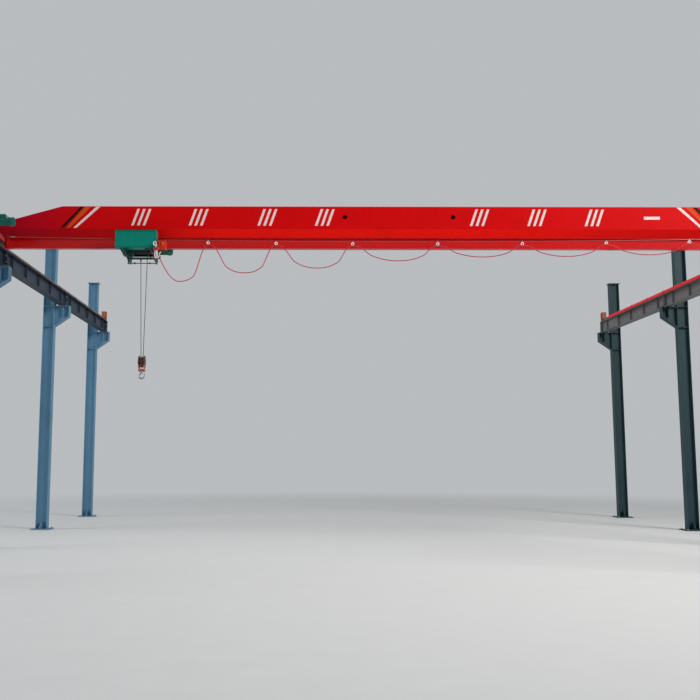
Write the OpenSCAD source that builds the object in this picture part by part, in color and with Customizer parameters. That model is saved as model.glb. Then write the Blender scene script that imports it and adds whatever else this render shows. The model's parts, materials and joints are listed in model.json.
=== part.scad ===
// Single girder overhead bridge crane on its runway, with an underslung low headroom rope hoist.
// X runs along the bridge, Y along the runway, Z up. The origin is on the floor, midway between
// the two runways and midway along them.

/* [Runway] */
// Distance between the two runway rails
rail_span = 16400; // [14000:100:18000]
// Height of the rail heads above the floor
rail_top_z = 6420; // [5800:10:7200]
// Length of one bay, from column to column
bay_l = 5000; // [4600:50:5600]
// Depth of a runway beam
beam_h = 345; // [300:10:420]
// Flange width of a runway beam
beam_w = 220; // [190:5:250]
// Flange thickness of a runway beam
beam_flange_t = 12; // [10:1:20]
// Web thickness of a runway beam
beam_web_t = 10; // [8:1:14]
// Distance between web stiffeners of a runway beam
stiffener_pitch = 1000; // [700:50:1400]
// Height of the crane rail section
rail_h = 107; // [90:1:120]
// Width of the rail foot
rail_foot_w = 92; // [80:1:110]
// Width of the rail head
rail_head_w = 51; // [44:1:56]

/* [Columns] */
// Height of the columns, up to the seat of the roof frame
column_h = 7600; // [7300:50:8600]
// Depth of the column section, across the runway
column_d = 300; // [260:10:400]
// Width of the column section, along the runway
column_w = 200; // [180:10:280]
// Flange thickness of a column
column_flange_t = 12; // [9:1:18]
// Web thickness of a column
column_web_t = 9; // [7:1:14]
// Distance from the rail's middle to the inner face of the columns
column_gap = 230; // [200:5:270]
// Side of the square base plate
base_plate_w = 500; // [460:10:600]
// Thickness of base and cap plates
base_plate_t = 24; // [18:1:32]
// Distance between anchor bolt holes, both ways
anchor_pitch = 400; // [370:5:400]
// Radius of the anchor bolt holes
anchor_r = 14; // [10:1:18]
// Reach of a bracket past the rail's middle
bracket_nose = 170; // [150:5:240]
// Depth of a bracket at the column
bracket_root_h = 570; // [500:10:760]
// Depth of a bracket at its nose
bracket_nose_h = 290; // [220:10:370]

/* [Bridge girder] */
// Place of the bridge along the runway at rest
bridge_y = -3700; // [-4000:50:-3000]
// Height of the girder, from the track's underside to the cover plate
girder_h = 835; // [800:5:880]
// Width of the box over the side plates
box_w = 400; // [340:10:460]
// Height of the upright side plates
side_h = 470; // [440:5:500]
// Thickness of the pressed box plate
plate_t = 8; // [6:1:12]
// Outer radius of the pressed corners
corner_r = 24; // [16:1:40]
// Distance that the girder hangs below the rail heads
girder_drop = 345; // [330:5:360]
// Length of the slope in the cover at each end
taper_l = 1030; // [900:10:1150]
// Fall of the cover over that length
taper_drop = 290; // [220:10:310]
// Length of the level cover at each end, past the slope
level_l = 485; // [400:5:600]
// Height of the track section
track_h = 220; // [210:5:240]
// Flange width of the track section
track_w = 120; // [112:2:126]
// Web thickness of the track section
track_web_t = 10; // [8:1:13]
// Flange thickness at the flange's edge
track_edge_t = 10; // [8:1:13]
// Rise of the flange's inner face for each unit of width
track_slope = 0.1667; // [0.14:0.01:0.18]
// Distance of each lifting hole from the middle of the girder
lift_hole_x = 1085; // [900:5:1300]
// Distance of the middle of the lifting holes from the middle of the girder
lift_hole_mid = 190; // [0:10:260]
// Radius of the lifting holes in the side plates
lift_hole_r = 45; // [35:1:55]

/* [End carriages] */
// Length of an end carriage over its end plates
carriage_l = 2600; // [2500:50:2800]
// Width of the carriage box
carriage_w = 240; // [230:5:260]
// Height of the carriage box
carriage_h = 350; // [330:5:370]
// Wall thickness of the carriage box
carriage_t = 10; // [8:1:14]
// Gap between the rail head and the carriage's underside
carriage_lift = 30; // [20:1:36]
// Distance between the two wheels of a carriage
wheel_base = 2000; // [1900:50:2200]
// Tread radius of a travel wheel
wheel_r = 135; // [125:1:145]
// Height of the wheel flanges over the tread
wheel_lip = 15; // [12:1:18]
// Width of the tread
tread_w = 66; // [60:1:74]
// Radius of the travel motors
drive_motor_r = 90; // [80:1:96]
// Length of the travel motors
drive_motor_l = 400; // [360:10:460]
// Radius of the rubber buffers
buffer_r = 50; // [40:1:60]
// Length of the rubber buffers
buffer_l = 80; // [60:1:100]

/* [Hoist trolley] */
// Place of the hoist along the girder at rest
trolley_x = -4975; // [-5400:5:-4700]
// Distance between the wheel axles
trolley_base = 340; // [310:10:360]
// Tread radius of a trolley wheel at its outer edge
trolley_wheel_r = 66; // [58:1:72]
// Length of the drum casing between the frames
casing_l = 520; // [480:10:560]
// Outer radius of the drum casing
casing_r = 160; // [152:1:166]
// Radius of the rope drum at its grooves
drum_r = 118; // [110:1:124]
// Radius of the hoist motor
hoist_motor_r = 132; // [120:1:140]
// Length of the hoist motor with its fan cover
hoist_motor_l = 290; // [270:5:340]
// Radius of the hoist gear case
gear_case_r = 150; // [138:1:156]
// Length of the hoist gear case
gear_case_l = 200; // [180:5:230]
// Length of the control box
control_l = 810; // [720:10:860]
// Height of the control box
control_h = 345; // [320:5:370]
// Depth of the control box
control_d = 200; // [160:5:230]
// Thickness of the frame plates
frame_t = 14; // [12:1:20]

/* [Rope and hook] */
// Diameter of the hoist rope
rope_d = 13; // [11:1:15]
// Height of the block sheave's axle above the floor at rest
block_z = 3780; // [3400:20:4300]
// Radius of the block sheave at the rope's middle
sheave_r = 105; // [96:1:112]
// Width of the bottom block over its side plates
block_w = 116; // [104:2:130]
// Inner radius of the hook
hook_r = 32; // [28:1:36]
// Thickness of the hook's body
hook_t = 36; // [30:1:38]

/* [Festoon] */
// Diameter of the festoon cable
cable_d = 20; // [16:1:22]
// Diameter of the carrying wire
wire_d = 8; // [6:1:10]
// Distance of the wire in front of the girder's middle plane
wire_y = 235; // [226:1:250]
// Height of the wire's ends above the track's underside
wire_up = 190; // [184:2:200]
// Sag of the carrying wire at its middle
wire_sag = 90; // [60:5:120]
// Distance of the wire's ends from the middle of the girder
wire_end_x = 7600; // [7500:10:7640]

/* [Conductor] */
// Distance of the conductor rail from the crane rail's middle
conductor_in = 270; // [240:5:330]
// Height of the conductor rail section
conductor_h = 70; // [56:2:80]
// Width of the conductor rail section
conductor_w = 44; // [36:2:50]
// Distance between conductor brackets
conductor_pitch = 1120; // [900:20:1300]

/* [Hidden] */
$fn = 48;

bays = 3;
seat_gap = 0.3;
beam_top_z = rail_top_z - rail_h;
beam_bottom_z = beam_top_z - beam_h;
rail_x = rail_span / 2;
runway_l = bays * bay_l;
column_in_x = rail_x + column_gap;
column_x = column_in_x + column_d / 2;
bracket_l = column_in_x - rail_x + bracket_nose;

girder_z = rail_top_z - girder_drop;
track_half = track_w / 2;
slant_h = girder_h - side_h - track_h;
carriage_in_x = rail_x - carriage_w / 2;
carriage_z = rail_top_z + carriage_lift;
axle_z = rail_top_z + wheel_r + seat_gap;
end_plate_t = 20;
girder_end_x = carriage_in_x - end_plate_t - seat_gap;
track_end_x = girder_end_x - 300;
beam_joint = 6;

// Height of the track flange's inner face above the track's underside, at a distance y from the web's middle
function flange_top(y) = track_edge_t + (track_half - y) * track_slope;
// Points of an arc in a plane, around c, from angle a to angle b
function arc(c, r, a, b, n) = [for (i = [0:n]) let (t = a + (b - a) * i / n) c + r * [cos(t), sin(t)]];
function flip(points) = [for (p = points) [-p[0], p[1]]];
function back(points) = [for (i = [len(points) - 1:-1:0]) points[i]];

// A profile in the YZ plane drawn out along X, centred
module along_x(length) {
    rotate([90, 0, 90]) translate([0, 0, -length / 2]) linear_extrude(length) children();
}

// A profile in the XZ plane drawn out along Y, centred
module along_y(length) {
    rotate([90, 0, 0]) translate([0, 0, -length / 2]) linear_extrude(length) children();
}

module rod_x(r, length) {
    rotate([0, 90, 0]) cylinder(r = r, h = length, center = true);
}

module rod_y(r, length) {
    rotate([90, 0, 0]) cylinder(r = r, h = length, center = true);
}

module block(size) {
    cube(size, center = true);
}

// An I section standing on its lower flange, middle of the foot at the origin
module i_section(h, w, flange, web) {
    translate([-w / 2, 0]) square([w, flange]);
    translate([-w / 2, h - flange]) square([w, flange]);
    translate([-web / 2, 0]) square([web, h]);
}

// Columns: an H section with its base plate, cap plate and the tapered bracket of the runway.
// The bracket points towards the origin's side of the column, along -X.
bracket_flange_t = 14;
bracket_web_t = 12;
bracket_w = 200;

module column_shaft() {
    shaft_h = column_h - 2 * base_plate_t;
    translate([0, 0, base_plate_t]) linear_extrude(shaft_h) rotate(90)
        translate([0, -column_d / 2]) i_section(column_d, column_w, column_flange_t, column_web_t);
}

module base_plate() {
    difference() {
        translate([0, 0, base_plate_t / 2]) block([base_plate_w, base_plate_w, base_plate_t]);
        for (sx = [-1, 1], sy = [-1, 1])
            translate([sx, sy, 0] * anchor_pitch / 2)
                translate([0, 0, -1]) cylinder(r = anchor_r, h = base_plate_t + 2);
    }
}

module base_gussets() {
    gusset_h = 180;
    gusset_l = (base_plate_w - column_w) / 2 - 20;
    for (sy = [-1, 1])
        scale([1, sy, 1]) translate([0, column_w / 2, base_plate_t])
            rotate([90, 0, 90]) linear_extrude(10, center = true)
                polygon([[-column_w / 2 + column_web_t / 2, 0], [gusset_l, 0], [gusset_l, 40],
                    [0, gusset_h], [-column_w / 2 + column_web_t / 2, gusset_h]]);
}

module cap_plate() {
    hole_r = 12;
    difference() {
        translate([0, 0, column_h - base_plate_t / 2])
            block([column_d + 60, column_w + 40, base_plate_t]);
        for (sx = [-1, 1], sy = [-1, 1])
            translate([sx * (column_d / 2 - 70), sy * (column_w / 2 - 40), column_h - base_plate_t - 1])
                cylinder(r = hole_r, h = base_plate_t + 2);
    }
}

module bracket() {
    root_z = beam_bottom_z - bracket_root_h;
    nose_z = beam_bottom_z - bracket_nose_h;
    outline = [[0, root_z], [-bracket_l, nose_z], [-bracket_l, beam_bottom_z], [0, beam_bottom_z]];
    slope = atan2(bracket_root_h - bracket_nose_h, bracket_l);
    translate([-column_d / 2, 0, 0]) {
        along_y(bracket_web_t) polygon(outline);
        translate([-bracket_l / 2, 0, beam_bottom_z - bracket_flange_t / 2])
            block([bracket_l, bracket_w, bracket_flange_t]);
        along_y(bracket_w) polygon([[0, root_z], [-bracket_l, nose_z],
            [-bracket_l, nose_z + bracket_flange_t / cos(slope)], [0, root_z + bracket_flange_t / cos(slope)]]);
        translate([-bracket_l + 5, 0, (nose_z + beam_bottom_z) / 2])
            block([10, bracket_w, beam_bottom_z - nose_z]);
        translate([-column_gap, 0, beam_bottom_z - bracket_nose_h / 2 - 20])
            block([12, bracket_w, bracket_nose_h - 40]);
    }
}

module column_stiffeners() {
    root_z = beam_bottom_z - bracket_root_h;
    clear_d = column_d - 2 * column_flange_t;
    for (z = [beam_bottom_z - bracket_flange_t / 2, root_z + bracket_flange_t / 2], sy = [-1, 1])
        translate([0, sy * (column_w + column_web_t) / 4, z])
            block([clear_d + 2, (column_w - column_web_t) / 2, 12]);
}

module column() {
    column_shaft();
    base_plate();
    base_gussets();
    cap_plate();
    bracket();
    column_stiffeners();
}

module columns(side) {
    color([0.15, 0.22, 0.24])
        for (i = [0:bays]) translate([0, -runway_l / 2 + i * bay_l, 0])
            scale([side, 1, 1]) translate([column_x, 0, 0]) column();
}

// Runway beams: one plate girder for each bay, with web stiffeners
module runway_bay(index) {
    length = bay_l - beam_joint;
    count = floor((length - 120) / stiffener_pitch);
    middle = -runway_l / 2 + (index + 0.5) * bay_l;
    inner_h = beam_h - 2 * beam_flange_t;
    translate([0, middle, beam_bottom_z]) {
        along_y(length) i_section(beam_h, beam_w, beam_flange_t, beam_web_t);
        for (i = [0:count], s = [-1, 1])
            translate([s * (beam_web_t / 2 + 30), (i - count / 2) * stiffener_pitch, beam_h / 2])
                block([61, 8, inner_h + 1]);
        for (e = [-1, 1])
            translate([0, e * (length / 2 - 6), beam_h / 2]) block([beam_w - 20, 12, inner_h + 1]);
    }
}

module runway_beam(side) {
    color([0.17, 0.2, 0.24]) translate([side * rail_x, 0, 0])
        for (i = [0:bays - 1]) runway_bay(i);
}

// End stops: a short upright I section on a foot plate, on each end of a runway beam
stop_h = 320;
stop_w = 150;
stop_d = 120;

module end_stop() {
    foot_t = 14;
    translate([0, -stop_d / 2 - 10, 0]) {
        translate([0, 0, foot_t / 2]) block([stop_w + 30, stop_d + 6, foot_t]);
        translate([0, 0, foot_t - 1]) linear_extrude(stop_h - foot_t + 1)
            translate([0, -stop_d / 2]) i_section(stop_d, stop_w, 12, 10);
    }
}

module end_stops() {
    color([0.75, 0.25, 0.08])
        for (sx = [-1, 1], sy = [-1, 1])
            translate([sx * rail_x, sy * runway_l / 2, beam_top_z]) scale([1, sy, 1]) end_stop();
}

// Crane rail: foot, tapered web and crowned head, stopping short of the end stops
module rail_profile() {
    head_h = 36;
    web_t = 11;
    foot = [[rail_foot_w / 2, 0], [rail_foot_w / 2, 8], [web_t / 2 + 6, 17], [web_t / 2, 26]];
    head = [[web_t / 2, rail_h - head_h - 8], [rail_head_w / 2, rail_h - head_h], [rail_head_w / 2, rail_h - 6],
        [rail_head_w / 2 - 6, rail_h]];
    right = concat(foot, head);
    polygon(concat(right, back(flip(right))));
}

module rail(side) {
    length = runway_l - 2 * (stop_d + 20);
    color([0.4, 0.38, 0.36])
        translate([side * rail_x, 0, beam_top_z]) along_y(length) rail_profile();
}

// Enclosed conductor rail along the right runway, on small brackets from the beam's top flange
conductor_x = rail_x - conductor_in;
conductor_z = beam_top_z + 6 - conductor_h / 2;
conductor_l = runway_l - 1450;
conductor_y = -575;

module conductor_profile() {
    wall = 4;
    translate([0, conductor_z]) difference() {
        translate([-conductor_w / 2, -conductor_h / 2]) square([conductor_w, conductor_h]);
        translate([-conductor_w / 2 + wall, -conductor_h / 2 - 1])
            square([conductor_w - 2 * wall, conductor_h - wall + 1]);
    }
    for (s = [-1, 1])
        translate([s * (conductor_w / 2 - 7), conductor_z - conductor_h / 2 + 2]) square([10, 4], center = true);
}

module conductor_rail() {
    color([0.72, 0.1, 0.06]) translate([conductor_x, conductor_y, 0]) along_y(conductor_l) conductor_profile();
}

module conductor_brackets() {
    count = floor((conductor_l - 600) / conductor_pitch);
    flange_edge = rail_x - beam_w / 2;
    arm_end = flange_edge + 40;
    arm_start = conductor_x - 30;
    color([0.35, 0.3, 0.3])
        for (i = [0:count]) translate([0, conductor_y - 220 + (i - count / 2) * conductor_pitch, beam_top_z + seat_gap]) {
            translate([(arm_start + arm_end) / 2, 0, 9]) block([arm_end - arm_start, 40, 6]);
            translate([arm_end - 18, 0, 4]) block([36, 60, 8]);
        }
}

// Bridge girder: pressed box with sloping ends, slanted plates down to the track, end plates
function box_outer() = concat(
    arc([-box_w / 2 + corner_r, girder_h - corner_r], corner_r, 90, 180, 4),
    [[-box_w / 2, girder_h - side_h], [-track_half, track_h]],
    [[track_half, track_h], [box_w / 2, girder_h - side_h]],
    arc([box_w / 2 - corner_r, girder_h - corner_r], corner_r, 0, 90, 4));

function box_inner() = let (t = plate_t, r = corner_r - plate_t, k = plate_t / 2.4) concat(
    arc([-box_w / 2 + corner_r, girder_h - corner_r], r, 90, 180, 4),
    [[-box_w / 2 + t, girder_h - side_h + k], [-track_half + t, track_h + t]],
    [[track_half - t, track_h + t], [box_w / 2 - t, girder_h - side_h + k]],
    arc([box_w / 2 - corner_r, girder_h - corner_r], r, 0, 90, 4));

// The space over the sloping cover of the right end, lowered by a depth
module over_cover(depth) {
    foot_x = girder_end_x - level_l;
    start_x = foot_x - taper_l;
    slope = taper_drop / taper_l;
    along_y(box_w + 200) polygon([[start_x - 40, girder_h - depth + 40 * slope], [start_x - 40, girder_h + 100],
        [girder_end_x + 100, girder_h + 100], [girder_end_x + 100, girder_h - depth - taper_drop],
        [foot_x, girder_h - depth - taper_drop]]);
}

// The space under the right end, over the runway beam, grown by a wall
module under_end(wall) {
    low = girder_h - side_h + 2;
    along_y(box_w + 200) polygon([[track_end_x - wall, -50], [track_end_x - wall, track_h],
        [track_end_x + 120 - wall, low + wall], [girder_end_x + 100, low + wall], [girder_end_x + 100, -50]]);
}

module girder_hollow() {
    difference() {
        along_x(2 * girder_end_x - 2) polygon(box_inner());
        for (s = [-1, 1]) scale([s, 1, 1]) {
            over_cover(plate_t);
            under_end(plate_t);
        }
    }
}

module girder_shell() {
    difference() {
        along_x(2 * girder_end_x) polygon(box_outer());
        for (s = [-1, 1]) scale([s, 1, 1]) {
            over_cover(0);
            under_end(0);
        }
        girder_hollow();
        for (sx = [-1, 1]) translate([lift_hole_mid + sx * lift_hole_x, 0, girder_h - side_h / 2 + 14])
            rod_y(lift_hole_r, box_w + 10);
    }
}

module end_plate() {
    plate_w = 660;
    plate_h = carriage_h - 20;
    plate_z = carriage_z - girder_z + carriage_h / 2;
    bolt_r = 11;
    difference() {
        translate([girder_end_x + end_plate_t / 2 - 1, 0, plate_z])
            block([end_plate_t + 2, plate_w, plate_h]);
        for (y = [-280, -235, 235, 280], z = [-110, 0, 110])
            translate([girder_end_x + end_plate_t / 2, y, plate_z + z])
                rod_x(bolt_r, end_plate_t + 6);
    }
    for (sy = [-1, 1])
        translate([0, sy * (box_w / 2 + 4), 0]) along_y(10)
            polygon([[girder_end_x - 420, girder_h - side_h + 60], [girder_end_x, carriage_z - girder_z + 20],
                [girder_end_x, carriage_z - girder_z + carriage_h - 30],
                [girder_end_x - 420, girder_h - side_h + 160]]);
}

module girder_box() {
    color([0.8, 0.05, 0.04]) translate([0, bridge_y, girder_z]) {
        girder_shell();
        for (s = [-1, 1]) scale([s, 1, 1]) {
            end_plate();
        }
    }
}

// Track: an I section with tapered flanges, and a stop plate near each end
module track_profile() {
    web = track_web_t / 2;
    low = [[track_half, 0], [track_half, track_edge_t], [web, flange_top(web)]];
    high = [for (p = back(low)) [p[0], track_h - p[1]]];
    right = concat(low, high);
    polygon(concat(right, back(flip(right))));
}

module girder_track() {
    stop_x = track_end_x - 60;
    color([0.75, 0.05, 0.04]) translate([0, bridge_y, girder_z - seat_gap]) {
        along_x(2 * track_end_x) track_profile();
        for (sx = [-1, 1], sy = [-1, 1])
            translate([sx * stop_x, sy * (track_half / 2 - 2), track_h / 2]) block([16, track_half - 10, 150]);
    }
}

// End carriages: a closed box with a slot under each wheel, axle bosses and end plates
module end_carriage(side) {
    color([0.72, 0.05, 0.05])
        translate([side * rail_x, bridge_y, carriage_z + carriage_h / 2]) {
            difference() {
                block([carriage_w, carriage_l, carriage_h]);
                block([carriage_w - 2 * carriage_t, carriage_l - 2 * carriage_t, carriage_h - 2 * carriage_t]);
                for (sy = [-1, 1]) {
                    translate([0, sy * wheel_base / 2, -carriage_h / 2])
                        block([carriage_w - 2 * carriage_t, 2 * wheel_r + 2 * wheel_lip + 24, 3 * carriage_t]);
                    translate([0, sy * wheel_base / 2, axle_z - carriage_z - carriage_h / 2])
                        rod_x(axle_r + seat_gap, carriage_w + 80);
                }
            }
            for (sy = [-1, 1]) translate([0, sy * wheel_base / 2, axle_z - carriage_z - carriage_h / 2])
                bearing_bosses();
        }
}

axle_r = 30;
boss_r = 72;

module bearing_bosses() {
    for (s = [-1, 1]) translate([s * (carriage_w / 2 + 9), 0, 0]) difference() {
        rod_x(boss_r, 20);
        rod_x(axle_r + seat_gap, 30);
    }
}

module travel_wheel() {
    body = [[0, -tread_w / 2 - 14], [wheel_r + wheel_lip, -tread_w / 2 - 14], [wheel_r + wheel_lip, -tread_w / 2 - 4],
        [wheel_r, -tread_w / 2], [wheel_r, tread_w / 2], [wheel_r + wheel_lip, tread_w / 2 + 4],
        [wheel_r + wheel_lip, tread_w / 2 + 14], [0, tread_w / 2 + 14]];
    rotate([0, 90, 0]) rotate_extrude() polygon(body);
    rod_x(axle_r + 18, carriage_w - 2 * carriage_t - 40);
    rod_x(axle_r, carriage_w + 44);
}

module wheels(side) {
    color([0.3, 0.3, 0.32]) for (sy = [-1, 1])
        translate([side * rail_x, bridge_y + sy * wheel_base / 2, axle_z]) travel_wheel();
}

// Travel drives: a gear case on the carriage's inner side and a finned motor beside the rail
drive_y = 300;
drive_z = -110;
gear_t = 140;
bell_l = 160;
gear_in = 22;

module travel_gearbox(side) {
    face_x = carriage_in_x - gear_in;
    color([0.05, 0.36, 0.3]) scale([side, 1, 1])
        translate([face_x - gear_t / 2, bridge_y - wheel_base / 2, axle_z]) {
            difference() {
                union() {
                    rod_x(boss_r + 26, gear_t);
                    translate([0, drive_y, drive_z]) rod_x(drive_motor_r - 14, gear_t);
                    rotate([atan2(drive_z, drive_y), 0, 0]) translate([0, drive_y / 2, 3])
                        block([gear_t - 6, drive_y, 134]);
                    translate([-gear_t / 2 - bell_l / 2 + 1, drive_y, drive_z])
                        rod_x(drive_motor_r - 26, bell_l + 2);
                    translate([-gear_t / 2 - bell_l + 8, drive_y, drive_z]) rod_x(drive_motor_r, 16);
                    for (a = [0:90:270]) translate([-gear_t / 2 - bell_l / 2 + 2, drive_y, drive_z])
                        rotate([a + 45, 0, 0]) translate([0, 0, drive_motor_r - 30]) block([bell_l, 10, 34]);
                }
                translate([gear_t / 2, 0, 0]) rod_x(axle_r + 1, 60);
            }
        }
}

module motor_fins(r, length, count, fin) {
    for (i = [0:count - 1]) rotate([i * 360 / count, 0, 0])
        translate([0, 0, r - fin / 2]) block([length, 5, fin + 6]);
}

module travel_motor(side) {
    start_x = carriage_in_x - gear_in - gear_t - bell_l - seat_gap;
    body_l = drive_motor_l - 70;
    color([0.05, 0.42, 0.34]) scale([side, 1, 1])
        translate([start_x - drive_motor_l / 2, bridge_y - wheel_base / 2 + drive_y, axle_z + drive_z]) {
            rod_x(drive_motor_r - 14, drive_motor_l);
            translate([drive_motor_l / 2 - 8, 0, 0]) rod_x(drive_motor_r, 16);
            translate([-drive_motor_l / 2 + 35, 0, 0]) rod_x(drive_motor_r - 2, 66);
            translate([10, 0, 0]) motor_fins(drive_motor_r - 14, body_l - 30, 20, 14);
            translate([20, 0, drive_motor_r + 14]) block([110, 90, 54]);
        }
}

module carriage_buffers() {
    color([0.12, 0.12, 0.13]) for (sx = [-1, 1], sy = [-1, 1])
        translate([sx * rail_x, bridge_y + sy * (carriage_l / 2 + seat_gap), beam_top_z + stop_h - 75])
            scale([1, sy, 1]) rotate([-90, 0, 0]) {
                cylinder(r = buffer_r - 6, h = buffer_l);
                cylinder(r = buffer_r + 12, h = 12);
                translate([0, 0, buffer_l - 20]) cylinder(r = buffer_r, h = 20);
            }
}

// Current collector: an arm from the right carriage down to the shoe under the conductor rail
module current_collector() {
    arm_y = bridge_y + 500;
    shoe_z = conductor_z - conductor_h / 2 - 26;
    post_x = conductor_x - conductor_w / 2 - 40;
    plate_z = carriage_z + 60;
    color([0.2, 0.2, 0.22]) translate([0, arm_y, 0]) {
        translate([(post_x - 10 + carriage_in_x - seat_gap) / 2, 0, plate_z])
            block([carriage_in_x - seat_gap - post_x + 10, 60, 10]);
        translate([carriage_in_x - seat_gap - 5, 0, plate_z + 30]) block([10, 120, 90]);
        translate([post_x, 0, (plate_z + shoe_z) / 2]) block([20, 40, plate_z - shoe_z + 10]);
        translate([(post_x + conductor_x) / 2, 0, shoe_z]) block([conductor_x - post_x + 20, 60, 14]);
        translate([conductor_x, 0, shoe_z + 8]) block([12, 150, 16]);
    }
}

// Festoon: carrying wire, sliding hangers and the looped cable
wire_z = girder_z + wire_up;
hanger_x = [-3626, -2270, -745, 950, 2636, 4310, 5970];
loop_sag = [605, 560, 452, 300, 225, 225, 212, 240];
tow_x = trolley_x + 380;
tow_z = girder_z - 234;
clamp_x = wire_end_x + 12;
knob_r = 30;
knob_drop = 48;

// Height of the wire's middle line at a place along the girder
function wire_at(x) = wire_z - wire_sag * (1 - pow(x / wire_end_x, 2));
// Height of the cable's middle line under a hanger
function cable_top(x) = wire_at(x) - knob_drop - knob_r - cable_d / 2 - seat_gap;

// Share of a loop's sag at a place along it, with a round shoulder at each hanger
function smooth(v) = let (s = min(v, 1)) s * s * (3 - 2 * s);
function drop_at(t, span, sag, first, end) = (1 - pow(abs(2 * pow(t, 1.1) - 1), 1.9 + sag / 1000))
    * (first ? 1 : smooth(t * span / 380)) * (end ? 1 : smooth((1 - t) * span / 290));

function route() = let (xs = concat([tow_x], hanger_x, [clamp_x]), last = len(xs) - 2, steps = 16) [
    for (k = [0:last]) let (a = xs[k], b = xs[k + 1],
        za = k == 0 ? tow_z : cable_top(a), zb = cable_top(b))
        for (i = [(k == 0 ? 0 : 1):steps]) let (t = i / steps)
            [a + (b - a) * t, 0, za + (zb - za) * t - loop_sag[k] * drop_at(t, b - a, loop_sag[k], k == 0, k == last)]];

function unit(v) = v / norm(v);
function heading(p, i) = unit(p[min(i + 1, len(p) - 1)] - p[max(i - 1, 0)]);

// A round tube along points that lie in the XZ plane, with a radius for each point
module tube(points, radii, sides) {
    n = len(points);
    rings = [for (i = [0:n - 1]) let (d = heading(points, i), up = [-d[2], 0, d[0]])
        for (j = [0:sides - 1]) let (a = 360 * j / sides)
            points[i] + radii[i] * (cos(a) * [0, 1, 0] + sin(a) * up)];
    skin = [for (i = [0:n - 2], j = [0:sides - 1])
        let (a = i * sides + j, b = i * sides + (j + 1) % sides) [a, a + sides, b + sides, b]];
    caps = [[for (j = [0:sides - 1]) j], [for (j = [sides - 1:-1:0]) (n - 1) * sides + j]];
    polyhedron(rings, concat(skin, caps), convexity = 8);
}

module festoon_wire() {
    steps = 16;
    line = [for (i = [0:steps]) let (x = wire_end_x * (2 * i / steps - 1)) [x, 0, wire_at(x)]];
    color([0.75, 0.35, 0.3]) translate([0, bridge_y - wire_y, 0]) {
        tube(line, [for (p = line) wire_d / 2], 8);
        for (s = [-1, 1]) translate([s * clamp_x, 0, 0]) {
            translate([0, 0, (girder_z + track_h + wire_z - knob_drop - knob_r) / 2])
                block([30, 30, girder_z + track_h - wire_z + knob_drop + knob_r]);
            translate([0, (wire_y - track_half - seat_gap) / 2, girder_z + track_h - track_edge_t / 2])
                block([30, wire_y - track_half - seat_gap, 8]);
        }
    }
}

module hanger() {
    color([0.95, 0.93, 0.9]) translate([0, 0, -knob_drop]) rotate([90, 0, 0]) rotate_extrude()
        polygon([[0, -22], [knob_r - 8, -22], [knob_r, -14], [knob_r, 14], [knob_r - 8, 22], [0, 22]]);
    color([0.6, 0.6, 0.6]) {
        translate([0, 0, (-knob_drop + knob_r + wire_d / 2) / 2 + 1])
            translate([0, wire_d / 2 + 4, 0]) block([14, 5, knob_drop - knob_r + wire_d / 2 + 8]);
        translate([0, 0, wire_d / 2 + 3]) block([14, wire_d + 13, 5]);
        translate([0, -wire_d / 2 - 4, -2]) block([14, 5, wire_d + 8]);
    }
}

module festoon_hangers() {
    for (x = hanger_x) translate([x, bridge_y - wire_y, wire_at(x)]) hanger();
}

module festoon_cable() {
    color([0.8, 0.3, 0.35]) translate([0, bridge_y - wire_y, 0]) tube(route(), [for (p = route()) cable_d / 2], 8);
}

// Hoist trolley: side plates with wheels on the track's lower flange
plate_y = track_half + 12;
wheel_out_y = track_half - 6;
wheel_in_y = 20;
trolley_axle_z = girder_z + flange_top(wheel_out_y) + trolley_wheel_r;
frame_low_z = girder_z - 260;
drum_y = plate_y + 12 + casing_r + 14;
drum_z = girder_z + 60;
socket_l = 44;
anchor_z = frame_low_z + 18 - socket_l;
frame_x = casing_l / 2 + frame_t;
side_plate_l = 2 * (frame_x + seat_gap);
trolley_pin_r = 14;

module side_plate(s) {
    corner = 60;
    low = girder_z - 40;
    high = trolley_axle_z + 50;
    half = side_plate_l / 2;
    translate([trolley_x, bridge_y + s * (plate_y + 6), 0]) difference() {
        along_y(12) polygon([[-half, low], [half, low], [half, high - corner], [half - corner, high],
            [corner - half, high], [-half, high - corner]]);
        for (sx = [-1, 1]) translate([sx * trolley_base / 2, 0, trolley_axle_z])
            rod_y(trolley_pin_r + seat_gap, 20);
    }
}

module trolley_plates() {
    color([0.05, 0.38, 0.3]) for (s = [-1, 1]) side_plate(s);
}

// A wheel with a coned tread that matches the flange's slope, its lip outside the flange
module trolley_wheel() {
    r_out = trolley_wheel_r - seat_gap;
    r_in = r_out - (wheel_out_y - wheel_in_y) * track_slope;
    rotate([-90, 0, 0]) rotate_extrude() polygon([[0, wheel_in_y], [r_in, wheel_in_y], [r_out, wheel_out_y],
        [r_out, track_half + 3], [r_out + 12, track_half + 3], [r_out + 9, track_half + 9], [0, track_half + 9]]);
    rotate([-90, 0, 0]) cylinder(r = trolley_pin_r, h = plate_y + 18);
}

module trolley_wheels() {
    color([0.35, 0.35, 0.37]) for (sx = [-1, 1], sy = [-1, 1])
        translate([trolley_x + sx * trolley_base / 2, bridge_y, trolley_axle_z]) scale([1, sy, 1])
            difference() {
                trolley_wheel();
                translate([0, wheel_in_y / 2, 0]) block([4 * trolley_wheel_r, wheel_in_y, 4 * trolley_wheel_r]);
            }
}

module trolley_motor() {
    motor_r = 52;
    color([0.05, 0.42, 0.34])
        translate([trolley_x, bridge_y - plate_y - 12 - seat_gap, trolley_axle_z - 12]) {
            translate([0, -22, 0]) block([250, 44, 90]);
            translate([-20, -66, 0]) rod_x(motor_r - 6, 260);
            translate([-20, -66, 0]) motor_fins(motor_r - 6, 180, 16, 8);
            translate([-145, -66, 0]) rod_x(motor_r, 44);
        }
}

// Hoist frames: yokes under the track that carry the drum at the back and the control box in front
control_back_y = wire_y + 40;
control_z = girder_z - 80;
foot_h = 15;

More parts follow.
